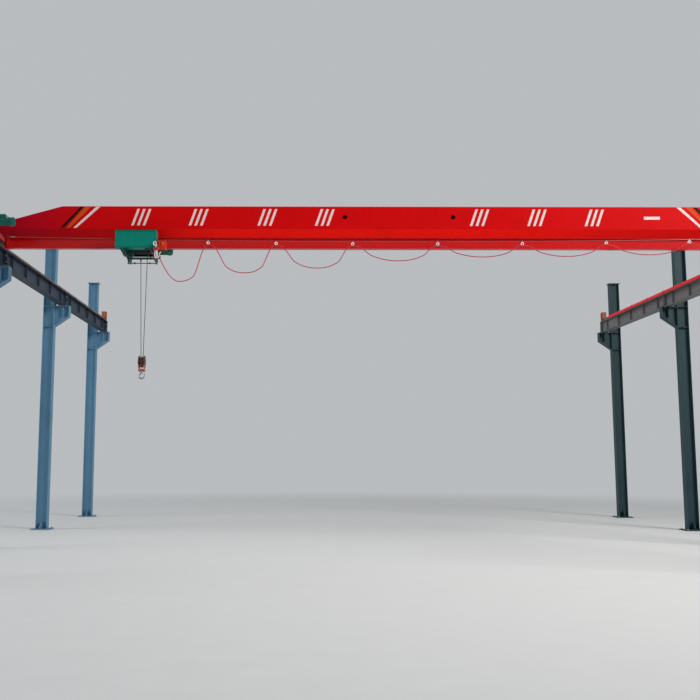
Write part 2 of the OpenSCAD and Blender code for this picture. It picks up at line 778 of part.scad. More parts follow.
module yoke() {
    front = -control_back_y - control_d + 20;
    rear = drum_y + casing_r + 10;
    slot = plate_y + 12 + seat_gap;
    floor_z = girder_z - 40 - seat_gap;
    arm_z = control_z - foot_h;
    along_x(frame_t) polygon([[front, arm_z], [front, arm_z - 60], [-120, frame_low_z],
        [drum_y - 60, frame_low_z - 20], [rear - 40, drum_z - 110], [rear, drum_z - 30], [rear, drum_z + 60],
        [drum_y + 60, drum_z + casing_r - 10], [drum_y - 70, drum_z + casing_r - 20],
        [slot + 16, girder_z + 110], [slot, girder_z + 40], [slot, floor_z], [-slot, floor_z],
        [-slot, girder_z + 40], [-slot - 40, girder_z + 40], [-wire_y, arm_z + 30], [-control_back_y, arm_z]]);
}

module hoist_frames() {
    color([0.03, 0.3, 0.25]) for (s = [-1, 1])
        translate([trolley_x + s * (frame_x - frame_t / 2 + seat_gap), bridge_y, 0]) difference() {
            yoke();
            translate([0, drum_y, drum_z]) rod_x(drum_r - 30, frame_t + 4);
        }
}

// Drum casing: a tube with a rope slot underneath
module drum_casing() {
    color([0.04, 0.34, 0.28]) translate([trolley_x, bridge_y + drum_y, drum_z]) difference() {
        rod_x(casing_r, casing_l);
        rod_x(casing_r - 8, casing_l + 2);
        translate([0, -casing_r + 10, -casing_r + 30]) block([casing_l - 120, 2 * casing_r - 20, 2 * casing_r - 60]);
    }
}

// Rope drum: flanges, and grooves at an even pitch
drum_turns = 18;
drum_pitch = (casing_l - 100) / drum_turns;
drum_groove = 5;

module rope_drum() {
    end = casing_l / 2 - 4;
    profile = concat([[0, -end], [drum_r + 10, -end], [drum_r + 10, 26 - end]],
        [for (i = [0:2 * drum_turns]) [drum_r - (i % 2) * drum_groove, (i / 2 - drum_turns / 2) * drum_pitch]],
        [[drum_r + 10, end - 26], [drum_r + 10, end], [0, end]]);
    color([0.45, 0.42, 0.4]) translate([trolley_x, bridge_y + drum_y, drum_z]) {
        rotate([0, 90, 0]) rotate_extrude() polygon(profile);
        rod_x(drum_r - 34, casing_l + 2 * frame_t + 0.8);
    }
}

module hoist_motor() {
    start = casing_l / 2 + frame_t + 2 * seat_gap + 0.2;
    fin_l = hoist_motor_l - 130;
    color([0.05, 0.42, 0.34]) translate([trolley_x + start + hoist_motor_l / 2, bridge_y + drum_y, drum_z]) {
        rod_x(hoist_motor_r - 14, hoist_motor_l);
        translate([-hoist_motor_l / 2 + 12, 0, 0]) rod_x(hoist_motor_r + 10, 24);
        translate([-24, 0, 0]) motor_fins(hoist_motor_r - 14, fin_l, 28, 16);
        translate([hoist_motor_l / 2 - 52, 0, 0]) rotate([0, 90, 0]) rotate_extrude()
            polygon([[0, -40], [hoist_motor_r, -40], [hoist_motor_r, 30], [hoist_motor_r - 22, 52], [0, 52]]);
    }
}

module hoist_gear_case() {
    start = casing_l / 2 + frame_t + 2 * seat_gap + 0.2;
    color([0.05, 0.4, 0.33]) translate([trolley_x - start - gear_case_l / 2, bridge_y + drum_y, drum_z]) {
        rotate([0, -90, 0]) rotate_extrude() polygon([[0, -gear_case_l / 2], [gear_case_r, -gear_case_l / 2],
            [gear_case_r, gear_case_l / 2 - 60], [gear_case_r - 16, gear_case_l / 2 - 34],
            [70, gear_case_l / 2 - 20], [60, gear_case_l / 2], [0, gear_case_l / 2]]);
        for (a = [0:45:315]) rotate([a, 0, 0]) translate([25, 0, gear_case_r])
            rod_x(12, gear_case_l / 2 + 14);
    }
}

// Limit rod under the frames, with the stops that the hook block lifts
module limit_rod() {
    rod_z = frame_low_z - 34;
    color([0.1, 0.14, 0.15]) translate([trolley_x, bridge_y, rod_z]) {
        rod_x(9, casing_l + 2 * frame_t + 40);
        for (s = [-1, 1]) {
            translate([s * (frame_x + 6 + 2 * seat_gap), 0, 28]) block([12, 50, 86]);
            translate([s * 150, 0, 0]) rod_x(18, 30);
        }
    }
}

module control_box() {
    lid = 12;
    color([0.03, 0.42, 0.34])
        translate([trolley_x - 55, bridge_y - control_back_y, control_z + control_h / 2]) {
            translate([0, -control_d / 2, 0]) block([control_l, control_d, control_h]);
            translate([0, -control_d - 4, 0]) block([control_l - 24, 10, control_h - 24]);
            translate([0, -control_d / 2, control_h / 2 + 2]) block([control_l + 8, control_d + 2 * lid, 5]);
            for (s = [-1, 1]) translate([55 + s * (frame_x - frame_t), -control_d / 2, -control_h / 2 - foot_h / 2 + 1])
                block([2 * frame_t, control_d - 50, foot_h + 2 - seat_gap]);
        }
}

// Junction box on the tow arm
arm_top_z = girder_z - 110;

module junction_box() {
    box_h = 190;
    color([0.82, 0.18, 0.06])
        translate([trolley_x + 455, bridge_y - control_back_y - 60, arm_top_z + seat_gap + box_h / 2]) {
            block([155, 110, box_h]);
            block([141, 124, box_h - 14]);
            translate([-50, 42, -box_h / 2 - 12]) cylinder(r = 12, h = 26, center = true);
        }
}

// Tow arm: reaches from the right frame under the junction box, and holds the first cable loop
module tow_arm() {
    start = frame_x + 2 * seat_gap;
    arm_y = -control_back_y - 60;
    shelf_z = tow_z + cable_d / 2 + seat_gap;
    color([0.25, 0.27, 0.27]) translate([trolley_x, bridge_y, 0]) {
        translate([start + 6, arm_y, arm_top_z - 40]) block([12, 90, 60]);
        translate([start + 135, arm_y, arm_top_z - 6]) block([270, 50, 12]);
        translate([start + 6, arm_y + 60, (arm_top_z - 20 + shelf_z) / 2]) block([12, 60, arm_top_z - 20 - shelf_z]);
        translate([(start + tow_x - trolley_x + 30) / 2, -wire_y, shelf_z + 5])
            block([tow_x - trolley_x + 30 - start, 70, 10]);
    }
}

// Rope: a fall from the drum's groove, half a turn under the sheave and a fall up to the anchor
fall_y = sheave_r + seat_gap;
hook_x = trolley_x + 40;
anchor_x = trolley_x - 8;
lead_x = 3.5 * drum_pitch;
lead_y = drum_y - drum_r + drum_groove - 0.55 * rope_d - seat_gap;

module rope_fall(top, foot) {
    run = top - foot;
    across = norm([run[0], run[1]]);
    translate(foot) rotate([0, atan2(across, run[2]), atan2(run[1], run[0])]) cylinder(r = rope_d / 2, h = norm(run));
}

module hoist_ropes() {
    color([0.2, 0.2, 0.2]) translate([hook_x, bridge_y, 0]) {
        rope_fall([trolley_x + lead_x - hook_x, lead_y, drum_z], [0, fall_y, block_z]);
        rope_fall([anchor_x - hook_x, -fall_y, anchor_z], [0, -fall_y, block_z]);
        translate([0, 0, block_z]) rotate([0, 90, 0]) rotate([0, 0, -90])
            rotate_extrude(angle = 180) translate([fall_y, 0]) circle(r = rope_d / 2);
        for (s = [-1, 1]) translate([0, s * fall_y, block_z]) sphere(r = rope_d / 2 + 0.2);
    }
}

// Rope anchor: a bar between the frames with the socket of the dead end
module rope_anchor() {
    color([0.25, 0.27, 0.27]) translate([trolley_x, bridge_y - fall_y, anchor_z]) {
        translate([0, 0, socket_l + 22]) rod_x(22, casing_l);
        translate([anchor_x - trolley_x, 0, seat_gap]) cylinder(r1 = 11, r2 = 17, h = socket_l + 4);
    }
}

// Bottom block: two cheek plates with the crosshead between them
cheek_r = sheave_r + 22;
cheek_t = 10;
cross_top = 160;
cross_h = 30;
shank_r = 17;

module block_housing() {
    inner_w = block_w - 2 * cheek_t;
    color([0.35, 0.06, 0.05]) translate([hook_x, bridge_y, block_z]) {
        for (s = [-1, 1]) translate([s * (block_w - cheek_t) / 2, 0, 0]) difference() {
            union() {
                rod_x(cheek_r, cheek_t);
                translate([0, 0, -(cross_top + cross_h) / 2]) block([cheek_t, 120, cross_top + cross_h]);
            }
            rod_x(16 + seat_gap, cheek_t + 4);
        }
        translate([0, 0, -cross_top - cross_h / 2]) difference() {
            block([inner_w + 1, 100, cross_h]);
            cylinder(r = shank_r + seat_gap, h = cross_h + 4, center = true);
        }
        for (sy = [-1, 1]) translate([0, sy * (cheek_r - 6), 0]) block([inner_w + 1, 8, 60]);
    }
}

module block_sheave() {
    groove_r = sheave_r - rope_d / 2;
    rim_r = sheave_r + 8;
    half = 20;
    color([0.8, 0.4, 0.12]) translate([hook_x, bridge_y, block_z]) {
        rotate([0, 90, 0]) rotate_extrude() polygon([[0, -half], [rim_r, -half], [rim_r, 5 - half],
            [groove_r, -6], [groove_r, 6], [rim_r, half - 5], [rim_r, half], [0, half]]);
        rod_x(30, block_w - 2 * cheek_t - 6);
        rod_x(16, block_w + 24);
    }
}

// Hook: shank, neck and a bowl of round section that narrows to the point
hook_z = block_z - cross_top - cross_h - 90;
bowl_r = hook_r + hook_t / 2;

function hook_line() = let (neck = [[0, 124], [0, 104], [0, 84], [-7, 68], [-18, 54], [-29, 42]],
    bowl = arc([0, 0], bowl_r, 140, 360, 16), tip = [[bowl_r + 2, 16], [bowl_r + 6, 34], [bowl_r + 13, 50]])
    [for (p = concat(neck, bowl, tip)) [p[0], 0, p[1]]];

function hook_radii() = let (n = len(hook_line()) - 1) [for (i = [0:n])
    i < 4 ? shank_r - 2 : i < 15 ? 15 + (hook_t / 2 - 15) * (i - 4) / 11 :
    hook_t / 2 - (hook_t / 2 - 6) * (i - 15) / (n - 15)];

module hook() {
    nut_z = block_z - hook_z - cross_top + seat_gap;
    color([0.3, 0.32, 0.35]) translate([hook_x, bridge_y, hook_z]) {
        tube(hook_line(), hook_radii(), 16);
        translate([0, 0, nut_z]) cylinder(r = shank_r + 9, h = 24);
        translate([0, 0, 92]) cylinder(r = shank_r, h = nut_z - 90);
    }
}

// Latch: two ears beside the neck and a tongue that closes on the inside of the hook's point
module hook_latch() {
    pivot = [-14, 60];
    point = [bowl_r - 8, 34];
    run = point - pivot;
    across = 4 * [-run[1], run[0]] / norm(run);
    ear_y = shank_r - 0.5 + seat_gap;
    tongue = pivot + 0.42 * run;
    color([0.5, 0.5, 0.5]) translate([hook_x, bridge_y, hook_z]) {
        along_y(2 * ear_y) polygon([tongue + across / 2, point + across / 2, point - across / 2, tongue - across / 2]);
        for (s = [-1, 1]) translate([0, s * ear_y, 0]) {
            along_y(3) polygon([pivot + 2 * across, point + across, point - across, pivot - 2 * across]);
            translate([pivot[0], 0, pivot[1]]) rod_y(9, 3);
            translate([pivot[0], s * 2, pivot[1]]) rod_y(5, 5);
        }
    }
}

columns(-1);  // columns_left
columns(1);  // columns_right
runway_beam(-1);  // runway_beam_left
runway_beam(1);  // runway_beam_right
end_stops();
rail(-1);  // rail_left
rail(1);  // rail_right
conductor_rail();
conductor_brackets();
girder_box();
girder_track();
end_carriage(-1);  // end_carriage_left
end_carriage(1);  // end_carriage_right
wheels(-1);  // wheels_left
wheels(1);  // wheels_right
travel_gearbox(-1);  // travel_gearbox_left
travel_gearbox(1);  // travel_gearbox_right
travel_motor(-1);  // travel_motor_left
travel_motor(1);  // travel_motor_right
carriage_buffers();
current_collector();
festoon_wire();
festoon_hangers();
festoon_cable();
trolley_plates();
trolley_wheels();
trolley_motor();
hoist_frames();
drum_casing();
rope_drum();
hoist_motor();
hoist_gear_case();
rope_anchor();
limit_rod();
control_box();
junction_box();
tow_arm();
hoist_ropes();
block_housing();
block_sheave();
hook();
hook_latch();
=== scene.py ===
"""Looks for the overhead bridge crane: finishes, festoon, ropes, fixings, camera and studio."""

import json
import math

import bpy
import numpy as np
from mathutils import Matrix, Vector


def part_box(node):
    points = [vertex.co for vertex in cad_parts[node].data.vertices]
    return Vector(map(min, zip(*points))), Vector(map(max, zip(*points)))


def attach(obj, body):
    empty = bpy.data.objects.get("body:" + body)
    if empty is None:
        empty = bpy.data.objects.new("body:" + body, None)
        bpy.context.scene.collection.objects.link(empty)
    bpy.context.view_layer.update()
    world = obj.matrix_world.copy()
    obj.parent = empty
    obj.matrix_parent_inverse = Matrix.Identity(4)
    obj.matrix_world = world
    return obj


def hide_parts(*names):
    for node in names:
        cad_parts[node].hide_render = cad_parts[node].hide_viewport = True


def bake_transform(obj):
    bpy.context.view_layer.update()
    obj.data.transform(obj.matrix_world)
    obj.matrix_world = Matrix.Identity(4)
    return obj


bl_info = {
    "name": "Bridge Crane Looks",
    "version": (1, 0, 0),
    "blender": (4, 5, 0),
    "location": "3D Viewport > Sidebar > Crane",
    "description": "Finishes and fittings for a single girder bridge crane",
    "category": "Object",
}

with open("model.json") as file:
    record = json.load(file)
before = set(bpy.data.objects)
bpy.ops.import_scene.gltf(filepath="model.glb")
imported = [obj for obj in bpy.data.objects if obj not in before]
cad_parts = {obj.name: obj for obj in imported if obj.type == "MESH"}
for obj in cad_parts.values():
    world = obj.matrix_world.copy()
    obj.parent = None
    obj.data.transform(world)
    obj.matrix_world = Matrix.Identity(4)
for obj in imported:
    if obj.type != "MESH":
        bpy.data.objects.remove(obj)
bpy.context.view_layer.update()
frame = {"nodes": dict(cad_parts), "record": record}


def low(node):
    """Lowest corner of a CAD node at rest, as an array."""
    return np.array(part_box(node)[0])


def high(node):
    """Highest corner of a CAD node at rest, as an array."""
    return np.array(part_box(node)[1])


def middle(node):
    """Centre of a CAD node's box at rest, as an array."""
    return (low(node) + high(node)) / 2


# Places and sizes of the CAD model, in metres

SIDES = (-1, 1)  # left and right, or near and far
SEAT_GAP = 0.0003  # what the solids leave between seated faces
GIRDER_Y = float(middle("girder_track")[1])
GIRDER_Z = float(low("girder_track")[2]) + SEAT_GAP
GIRDER_TOP = float(high("girder_box")[2])
RAIL_X = float(middle("rail_right")[0])
RAIL_TOP = float(high("rail_right")[2])
RUNWAY_END = 7.5
BEAM_TOP = float(high("runway_beam_right")[2])
BEAM_LOW = float(low("runway_beam_right")[2])
COLUMN_Y = [-7.5, -2.5, 2.5, 7.5]
COLUMN_FACE = RAIL_X + 0.23  # the flange that carries the bracket
COLUMN_X = COLUMN_FACE + 0.15
COLUMN_TOP = float(high("columns_right")[2])
CARRIAGE_HALF_W = 0.12
CARRIAGE_END = 1.3
CARRIAGE_Z = RAIL_TOP + 0.03 + 0.175  # half the carriage's height over its clearance
END_PLATE_T = 0.02
WHEEL_Y = 1.0
AXLE_Z = float(middle("wheels_right")[2])
DRIVE_FAN_X = 7.3577  # fan end of the travel motor
TROLLEY_X = float(middle("trolley_plates")[0])
TROLLEY_AXLE_Z = float(middle("trolley_wheels")[2])
FESTOON_X = [TROLLEY_X + 0.380, -3.626, -2.270, -0.745, 0.950, 2.636, 4.310, 5.970, 7.612]
FESTOON_SAG = [0.605, 0.560, 0.452, 0.300, 0.225, 0.225, 0.212, 0.240]
WIRE_END = 7.6
WIRE_Y = GIRDER_Y - 0.235
WIRE_Z = GIRDER_Z + 0.190
WIRE_DIP = 0.090
TOW_DROP = 0.234  # the first loop's start below the girder
CABLE_DROP = 0.0883  # the cable's middle below the wire, under a hanger
HOIST = np.array([TROLLEY_X, GIRDER_Y, GIRDER_Z])  # under the girder, where the hoist's places are measured from
DRUM = np.array([TROLLEY_X, *middle("rope_drum")[1:]])
BLOCK = middle("block_sheave")
BLOCK_HALF_W = 0.058
SHEAVE_R = 0.1053
ROPE_R = 0.0065
ROPE_LAY = (6, 9.0)  # strands, and their turns per metre


# Settings


def colour_setting(name, description, default):
    """A colour that the user can change."""
    return bpy.props.FloatVectorProperty(name=name, description=description, subtype="COLOR", default=default,
                                         min=0, max=1)


class FinishSettings(bpy.types.PropertyGroup):
    """Colours of the main finishes"""

    girder_red: colour_setting("Girder red", "Paint of the bridge girder", (0.58, 0.002, 0.003))
    carriage_red: colour_setting("Carriage red", "Paint of the end carriages", (0.36, 0.003, 0.008))
    hoist_green: colour_setting("Hoist green", "Paint of the hoist's frames and covers", (0.004, 0.09, 0.07))
    column_grey: colour_setting("Column grey", "Paint of the columns", (0.017, 0.045, 0.054))
    cable_pink: colour_setting("Cable", "Sheath of the festoon cable", (0.42, 0.02, 0.042))


class FestoonSettings(bpy.types.PropertyGroup):
    """Sizes of the looped cable and its hangers"""

    cable_d: bpy.props.FloatProperty(
        name="Cable diameter", description="Outside diameter of the looped cable", default=0.018,
        min=0.01, max=0.03, unit="LENGTH")
    hanger_r: bpy.props.FloatProperty(
        name="Hanger ring", description="Outer radius of a hanger's ring", default=0.0295,
        min=0.026, max=0.035, unit="LENGTH")


class StageSettings(bpy.types.PropertyGroup):
    """Camera and light"""

    lens: bpy.props.FloatProperty(
        name="Lens", description="Focal length of the camera", default=45.135, min=20, max=90, unit="CAMERA")
    pitch: bpy.props.FloatProperty(
        name="Pitch", description="Upward tilt of the camera", default=math.radians(6.906), subtype="ANGLE",
        unit="ROTATION")
    key: bpy.props.FloatProperty(
        name="Key light", description="Power from which the three lamps take their shares", default=5000, min=0,
        subtype="POWER", unit="POWER")


# Mesh making. A shape is a pair of points and faces.


def points(x, y, z):
    """Points from coordinates, each a number or an array, spread to one shape."""
    return np.stack(np.broadcast_arrays(x, y, z), -1)


AXES = {"x": [2, 0, 1], "y": [1, 2, 0], "z": [0, 1, 2]}


def laid(axis, u, v, w):
    """Points with u and v in the plane square to an axis and w along it."""
    return points(u, v, w)[..., AXES[axis]]


def lengths(path):
    """Length along a path up to each of its points: the running sum of the steps between them."""
    return np.concatenate([[0], np.cumsum(np.linalg.norm(np.diff(path, axis=0), axis=1))])


def flipped(faces):
    """The same faces turned to look the other way."""
    return [face[::-1] for face in faces]


def mirrored(shape, axis):
    """A shape mirrored in the plane through the origin square to an axis, with its faces turned back."""
    return shape[0] * np.where(np.arange(3) == "xyz".index(axis), -1, 1), flipped(shape[1])


def shifted(shape, place):
    """A shape moved by a place."""
    return shape[0] + np.asarray(place, float), shape[1]


def joined(shapes):
    """Several shapes as one."""
    verts, faces, start = [], [], 0
    for v, f in shapes:
        verts.append(v)
        faces.extend([[i + start for i in face] for face in f])
        start += len(v)
    return np.concatenate(verts), faces


def copies(shape, places):
    """One shape set at each of many places."""
    return joined([shifted(shape, place) for place in places])


def both(value):
    """A value and its opposite, the lower side first."""
    return -value, value


def around(places, xs=(0,), ys=(0,), zs=(0,)):
    """Each place moved by every set of one x, one y and one z offset."""
    return [np.add(place, (x, y, z)) for place in places for x in xs for y in ys for z in zs]


def circle(centre, radius, count, start):
    """Places spread evenly round a circle square to x, centre + r (cos a, sin a), from a starting angle."""
    a = start + np.arange(count) * 2 * np.pi / count
    return list(points(0, radius * np.cos(a), radius * np.sin(a)) + centre)


def placed(name, data):
    """A new object that shows some data, in the scene's collection."""
    obj = bpy.data.objects.new(name, data)
    bpy.context.scene.collection.objects.link(obj)
    return obj


def piece(name, body, slot, *shapes, bevel=0.0):
    """One object made of shapes, riding on a body, with its slot's finish and an optional bevel."""
    verts, faces = joined(shapes)
    mesh = bpy.data.meshes.new(name)
    mesh.from_pydata(verts.tolist(), [], faces)
    mesh.validate()
    mesh.shade_smooth()
    mesh.set_sharp_from_angle(angle=math.radians(32))
    mesh.materials.append(PAINTS[slot])
    obj = placed(name, mesh)
    if bevel:
        mod = obj.modifiers.new("edges", "BEVEL")
        mod.width, mod.segments, mod.limit_method = bevel, 2, "ANGLE"
        mod.harden_normals = True
    if body:
        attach(obj, body)
    return obj


def bolts(name, body, *groups, slot="zinc"):
    """One object of bolt heads. A group is a size, the axis and sign that its heads look along, and its places."""
    return piece(name, body, slot, *[copies(bolt(*kind), places) for *kind, places in groups])


def skin(rings, sides, ends=True, wrapped=True):
    """Quads between the neighbours of a grid of rings by sides, closed round and at its two ends where asked."""
    u, v = np.meshgrid(np.arange(rings - 1), np.arange(sides if wrapped else sides - 1), indexing="ij")
    a = u * sides + v
    b = u * sides + (v + 1) % sides
    faces = np.stack([a, b, b + sides, a + sides], -1).reshape(-1, 4).tolist()
    if ends:
        faces += [list(range(sides - 1, -1, -1)), list(range((rings - 1) * sides, rings * sides))]
    return faces


def farthest(directions, tries=200):
    """Of many unit vectors spread on a spiral over the sphere, the one farthest from every given direction."""
    k = np.arange(tries) + 0.5
    up, turn = 1 - 2 * k / tries, k * np.pi * (1 + 5 ** 0.5)
    flat = np.sqrt(1 - up * up)
    refs = points(flat * np.cos(turn), flat * np.sin(turn), up)
    return refs[abs(directions @ refs.T).max(axis=0).argmin()]


def tube(path, radius, sides=12, twist=None):
    """A round tube: at each path point p a circle p + r (cos a n + sin a b), with n and b square to the path.

    twist, where given, is a pair (lobes, turns per metre): the radius swells by lobes that wind along the path.
    """
    p = np.asarray(path, float)
    d = np.gradient(p, axis=0)
    d /= np.linalg.norm(d, axis=1)[:, None]
    n = np.cross(d, (0, 1, 0) if abs(d[:, 1]).max() < 0.9 else farthest(d))
    n /= np.linalg.norm(n, axis=1)[:, None]
    b = np.cross(d, n)
    a = np.linspace(0, 2 * np.pi, sides, endpoint=False)
    r = np.broadcast_to(np.asarray(radius, float).reshape(-1, 1), (len(p), sides)).copy()
    if twist:
        wound = a[None] + 2 * np.pi * twist[1] * lengths(p)[:, None]
        r *= 0.9 + 0.1 * np.abs(np.cos(twist[0] / 2 * wound))
    out = np.cos(a)[None, :, None] * n[:, None] + np.sin(a)[None, :, None] * b[:, None]
    return (p[:, None] + r[..., None] * out).reshape(-1, 3), skin(len(p), sides)


def bead(line, r):
    """A weld bead: a tube whose radius ripples along the line."""
    return tube(line, r * (1 + 0.16 * np.sin(lengths(line) * 420.0)), 6)


def bezier(a, b, c, d):
    """Points of a cubic curve: a (1-t)^3 + 3 b t (1-t)^2 + 3 c t^2 (1-t) + d t^3."""
    t = np.linspace(0, 1, 44)[:, None]
    a, b, c, d = (np.array(p, float) for p in (a, b, c, d))
    return a * (1 - t) ** 3 + 3 * b * t * (1 - t) ** 2 + 3 * c * t * t * (1 - t) + d * t ** 3


def through(places):
    """A smooth line through places: between each two, a cubic whose slopes are half the chord of their neighbours."""
    p = np.asarray(places, float)
    q = np.concatenate([[2 * p[0] - p[1]], p, [2 * p[-1] - p[-2]]])
    t = (np.arange(8) / 8)[None, :, None]
    a, b, c, d = (q[n:len(q) - 3 + n][:, None] for n in range(4))
    curve = 0.5 * (2 * b + (c - a) * t + (2 * a - 5 * b + 4 * c - d) * t ** 2 + (3 * b - a - 3 * c + d) * t ** 3)
    return np.concatenate([curve.reshape(-1, 3), p[-1:]])


def lathe(profile, centre=(0, 0, 0), axis="z", sides=32, sweep=2 * np.pi, ends=True):
    """A turned shape: profile points (r, h) carried round an axis through a centre, as (r cos a, r sin a, h)."""
    r, h = np.asarray(profile, float).T[..., None]
    full = sweep == 2 * np.pi
    a = np.linspace(0, sweep, sides, endpoint=not full)
    out = laid(axis, r * np.cos(a), r * np.sin(a), h)
    return out.reshape(-1, 3) + centre, skin(len(r), sides, ends and full, full)


def ring(radius, thick, centre=(0, 0, 0), steps=9, sides=40):
    """A torus round the x axis: a circle (radius + t cos b, t sin b) turned about the centre."""
    b = np.linspace(0, 2 * np.pi, steps)
    return lathe(np.stack([radius + thick * np.cos(b), thick * np.sin(b)], -1), centre, "x", sides, ends=False)


def slab(centre, size):
    """A rectangular block, the unit cube times its size."""
    cube = np.array([[x, y, z] for z in both(0.5) for y in both(0.5) for x in both(0.5)])
    faces = [[0, 2, 3, 1], [4, 5, 7, 6], [0, 1, 5, 4], [2, 6, 7, 3], [0, 4, 6, 2], [1, 3, 7, 5]]
    return cube * size + centre, faces


def sleeve(w, h, r, centre, length):
    """A bar along y: a w by h rectangle whose corners are quarter circles, drawn out to both sides of the centre."""
    a = np.concatenate([np.linspace(q, q + np.pi / 2, 5) for q in np.arange(4) * np.pi / 2])
    z = np.repeat([h / 2 - r, r - h / 2, r - h / 2, h / 2 - r], 5) + r * np.cos(a)
    x = np.repeat([w / 2 - r, w / 2 - r, r - w / 2, r - w / 2], 5) + r * np.sin(a)
    out = points(x, np.array([[-length / 2], [length / 2]]), z)
    return out.reshape(-1, 3) + centre, skin(2, len(a))


def bolt(size, axis, sign=1):
    """A hexagon head on a washer, with the thread's end above it, standing on the origin along an axis."""
    washer, head = size * 0.15, size * 0.65
    shape = joined([
        lathe([(size * 0.9, washer), (size * 0.9, washer + head * 0.86), (size * 0.792, washer + head)], axis=axis,
              sides=6),
        lathe([(size * 1.1, 0), (size * 1.1, washer)], axis=axis, sides=12),
        lathe([(size * 0.5, head), (size * 0.5, head + size * 0.5), (size * 0.4, head + size * 0.6)], axis=axis,
              sides=8)])
    return shape if sign > 0 else mirrored(shape, axis)


def grille(r, place, count=5):
    """Rings and spokes of a fan guard of radius r, in the plane square to x at a place."""
    t = np.linspace(-r, r, 5)
    hoops = [ring(0.2 * r + 0.78 * r * n / (count - 1), 0.0022) for n in range(count)]
    spokes = [tube(points(0, t * np.cos(q), t * np.sin(q)), 0.002, 6) for q in np.arange(4) * np.pi / 4]
    return shifted(joined(hoops + spokes), place)


# Shader expressions


class Socket:
    """Wraps a node socket, so that + - * and abs add Math nodes."""

    def __init__(self, tree, socket):
        self.tree, self.socket = tree, socket

    def node(self, kind, settings=None, values=None, output=0):
        """A node of a type, with its settings first and then its inputs' values or links, as one of its outputs."""
        made = self.tree.nodes.new(kind)
        for key, value in (settings or {}).items():
            setattr(made, key, value)
        for key, value in (values or {}).items():
            self.feed(made.inputs[key], value)
        return Socket(self.tree, made.outputs[output])

    def feed(self, target, value):
        """Links a socket to an input, or sets its value."""
        if isinstance(value, Socket):
            self.tree.links.new(value.socket, target)
        elif target.type == "RGBA":
            target.default_value = (*value, 1.0)
        else:
            target.default_value = value

    def maths(self, operation, a, b=0.0):
        """A Math node."""
        return self.node("ShaderNodeMath", {"operation": operation}, {0: a, 1: b})

    def __add__(self, other):
        return self.maths("ADD", self, other)

    def __sub__(self, other):
        return self.maths("SUBTRACT", self, other)

    def __rsub__(self, other):
        return self.maths("SUBTRACT", other, self)

    def __mul__(self, other):
        return self.maths("MULTIPLY", self, other)

    __radd__, __rmul__ = __add__, __mul__

    def __abs__(self):
        return self.maths("ABSOLUTE", self)

    def split(self):
        """The x, y and z of a vector."""
        first = self.node("ShaderNodeSeparateXYZ", {}, {0: self})
        return [Socket(self.tree, out) for out in first.socket.node.outputs]

    def smooth(self, lowest, highest):
        """0 below lowest, 1 above highest, and a smooth step between."""
        return self.node("ShaderNodeMapRange", {"interpolation_type": "SMOOTHSTEP"},
                         {"Value": self, "From Min": lowest, "From Max": highest})

    def past(self, limit, soft=0.002):
        """1 past a limit and 0 before it."""
        return self.smooth(limit - soft, limit + soft)

    def band(self, lowest, highest, soft=0.002):
        """1 between two values and 0 outside them."""
        return self.past(lowest, soft) * (1 - self.past(highest, soft))

    def mix(self, first, second):
        """Mixes two colours by this mask."""
        return self.node("ShaderNodeMix", {"data_type": "RGBA"}, {0: self, 6: first, 7: second}, 2)


class Material:
    """A node material, with the Object coordinates and the upward share of the surface's normal at hand."""

    def __init__(self):
        self.made = bpy.data.materials.new("Finish")
        self.made.use_nodes = True
        self.tree = self.made.node_tree
        self.shader = self.tree.nodes["Principled BSDF"]
        self.place = Socket(self.tree, self.tree.nodes.new("ShaderNodeTexCoord").outputs["Object"])
        self.x, self.y, self.z = self.place.split()
        self.up = self.place.node("ShaderNodeNewGeometry", output="Normal").split()[2]

    def noise(self, scale, detail=4.0, rough=0.55, stretch=None):
        """Cloudy noise between 0 and 1 over the Object coordinates, which stretch multiplies."""
        vector = self.place
        if stretch:
            vector = vector.node("ShaderNodeVectorMath", {"operation": "MULTIPLY"}, {0: vector, 1: stretch})
        return vector.node("ShaderNodeTexNoise", {}, {"Vector": vector, "Scale": scale, "Detail": detail,
                                                      "Roughness": rough})

    def set(self, colour, rough, metal=0.0, bump=None, distance=0.001, strength=0.5, **fixed):
        """Feeds the shader's inputs and a Bump node, and returns the finished material."""
        values = {"Base Color": colour, "Roughness": rough, "Metallic": metal}
        if bump is not None:
            values["Normal"] = self.place.node("ShaderNodeBump", {}, {"Strength": strength, "Distance": distance,
                                                                      "Height": bump})
        for key, value in {**values, **fixed}.items():
            self.place.feed(self.shader.inputs[key.replace("_", " ")], value)
        return self.made


def shade_of(colour, factor):
    """A colour made lighter or darker by a factor, held at 1."""
    return tuple(min(1.0, c * factor) for c in colour)


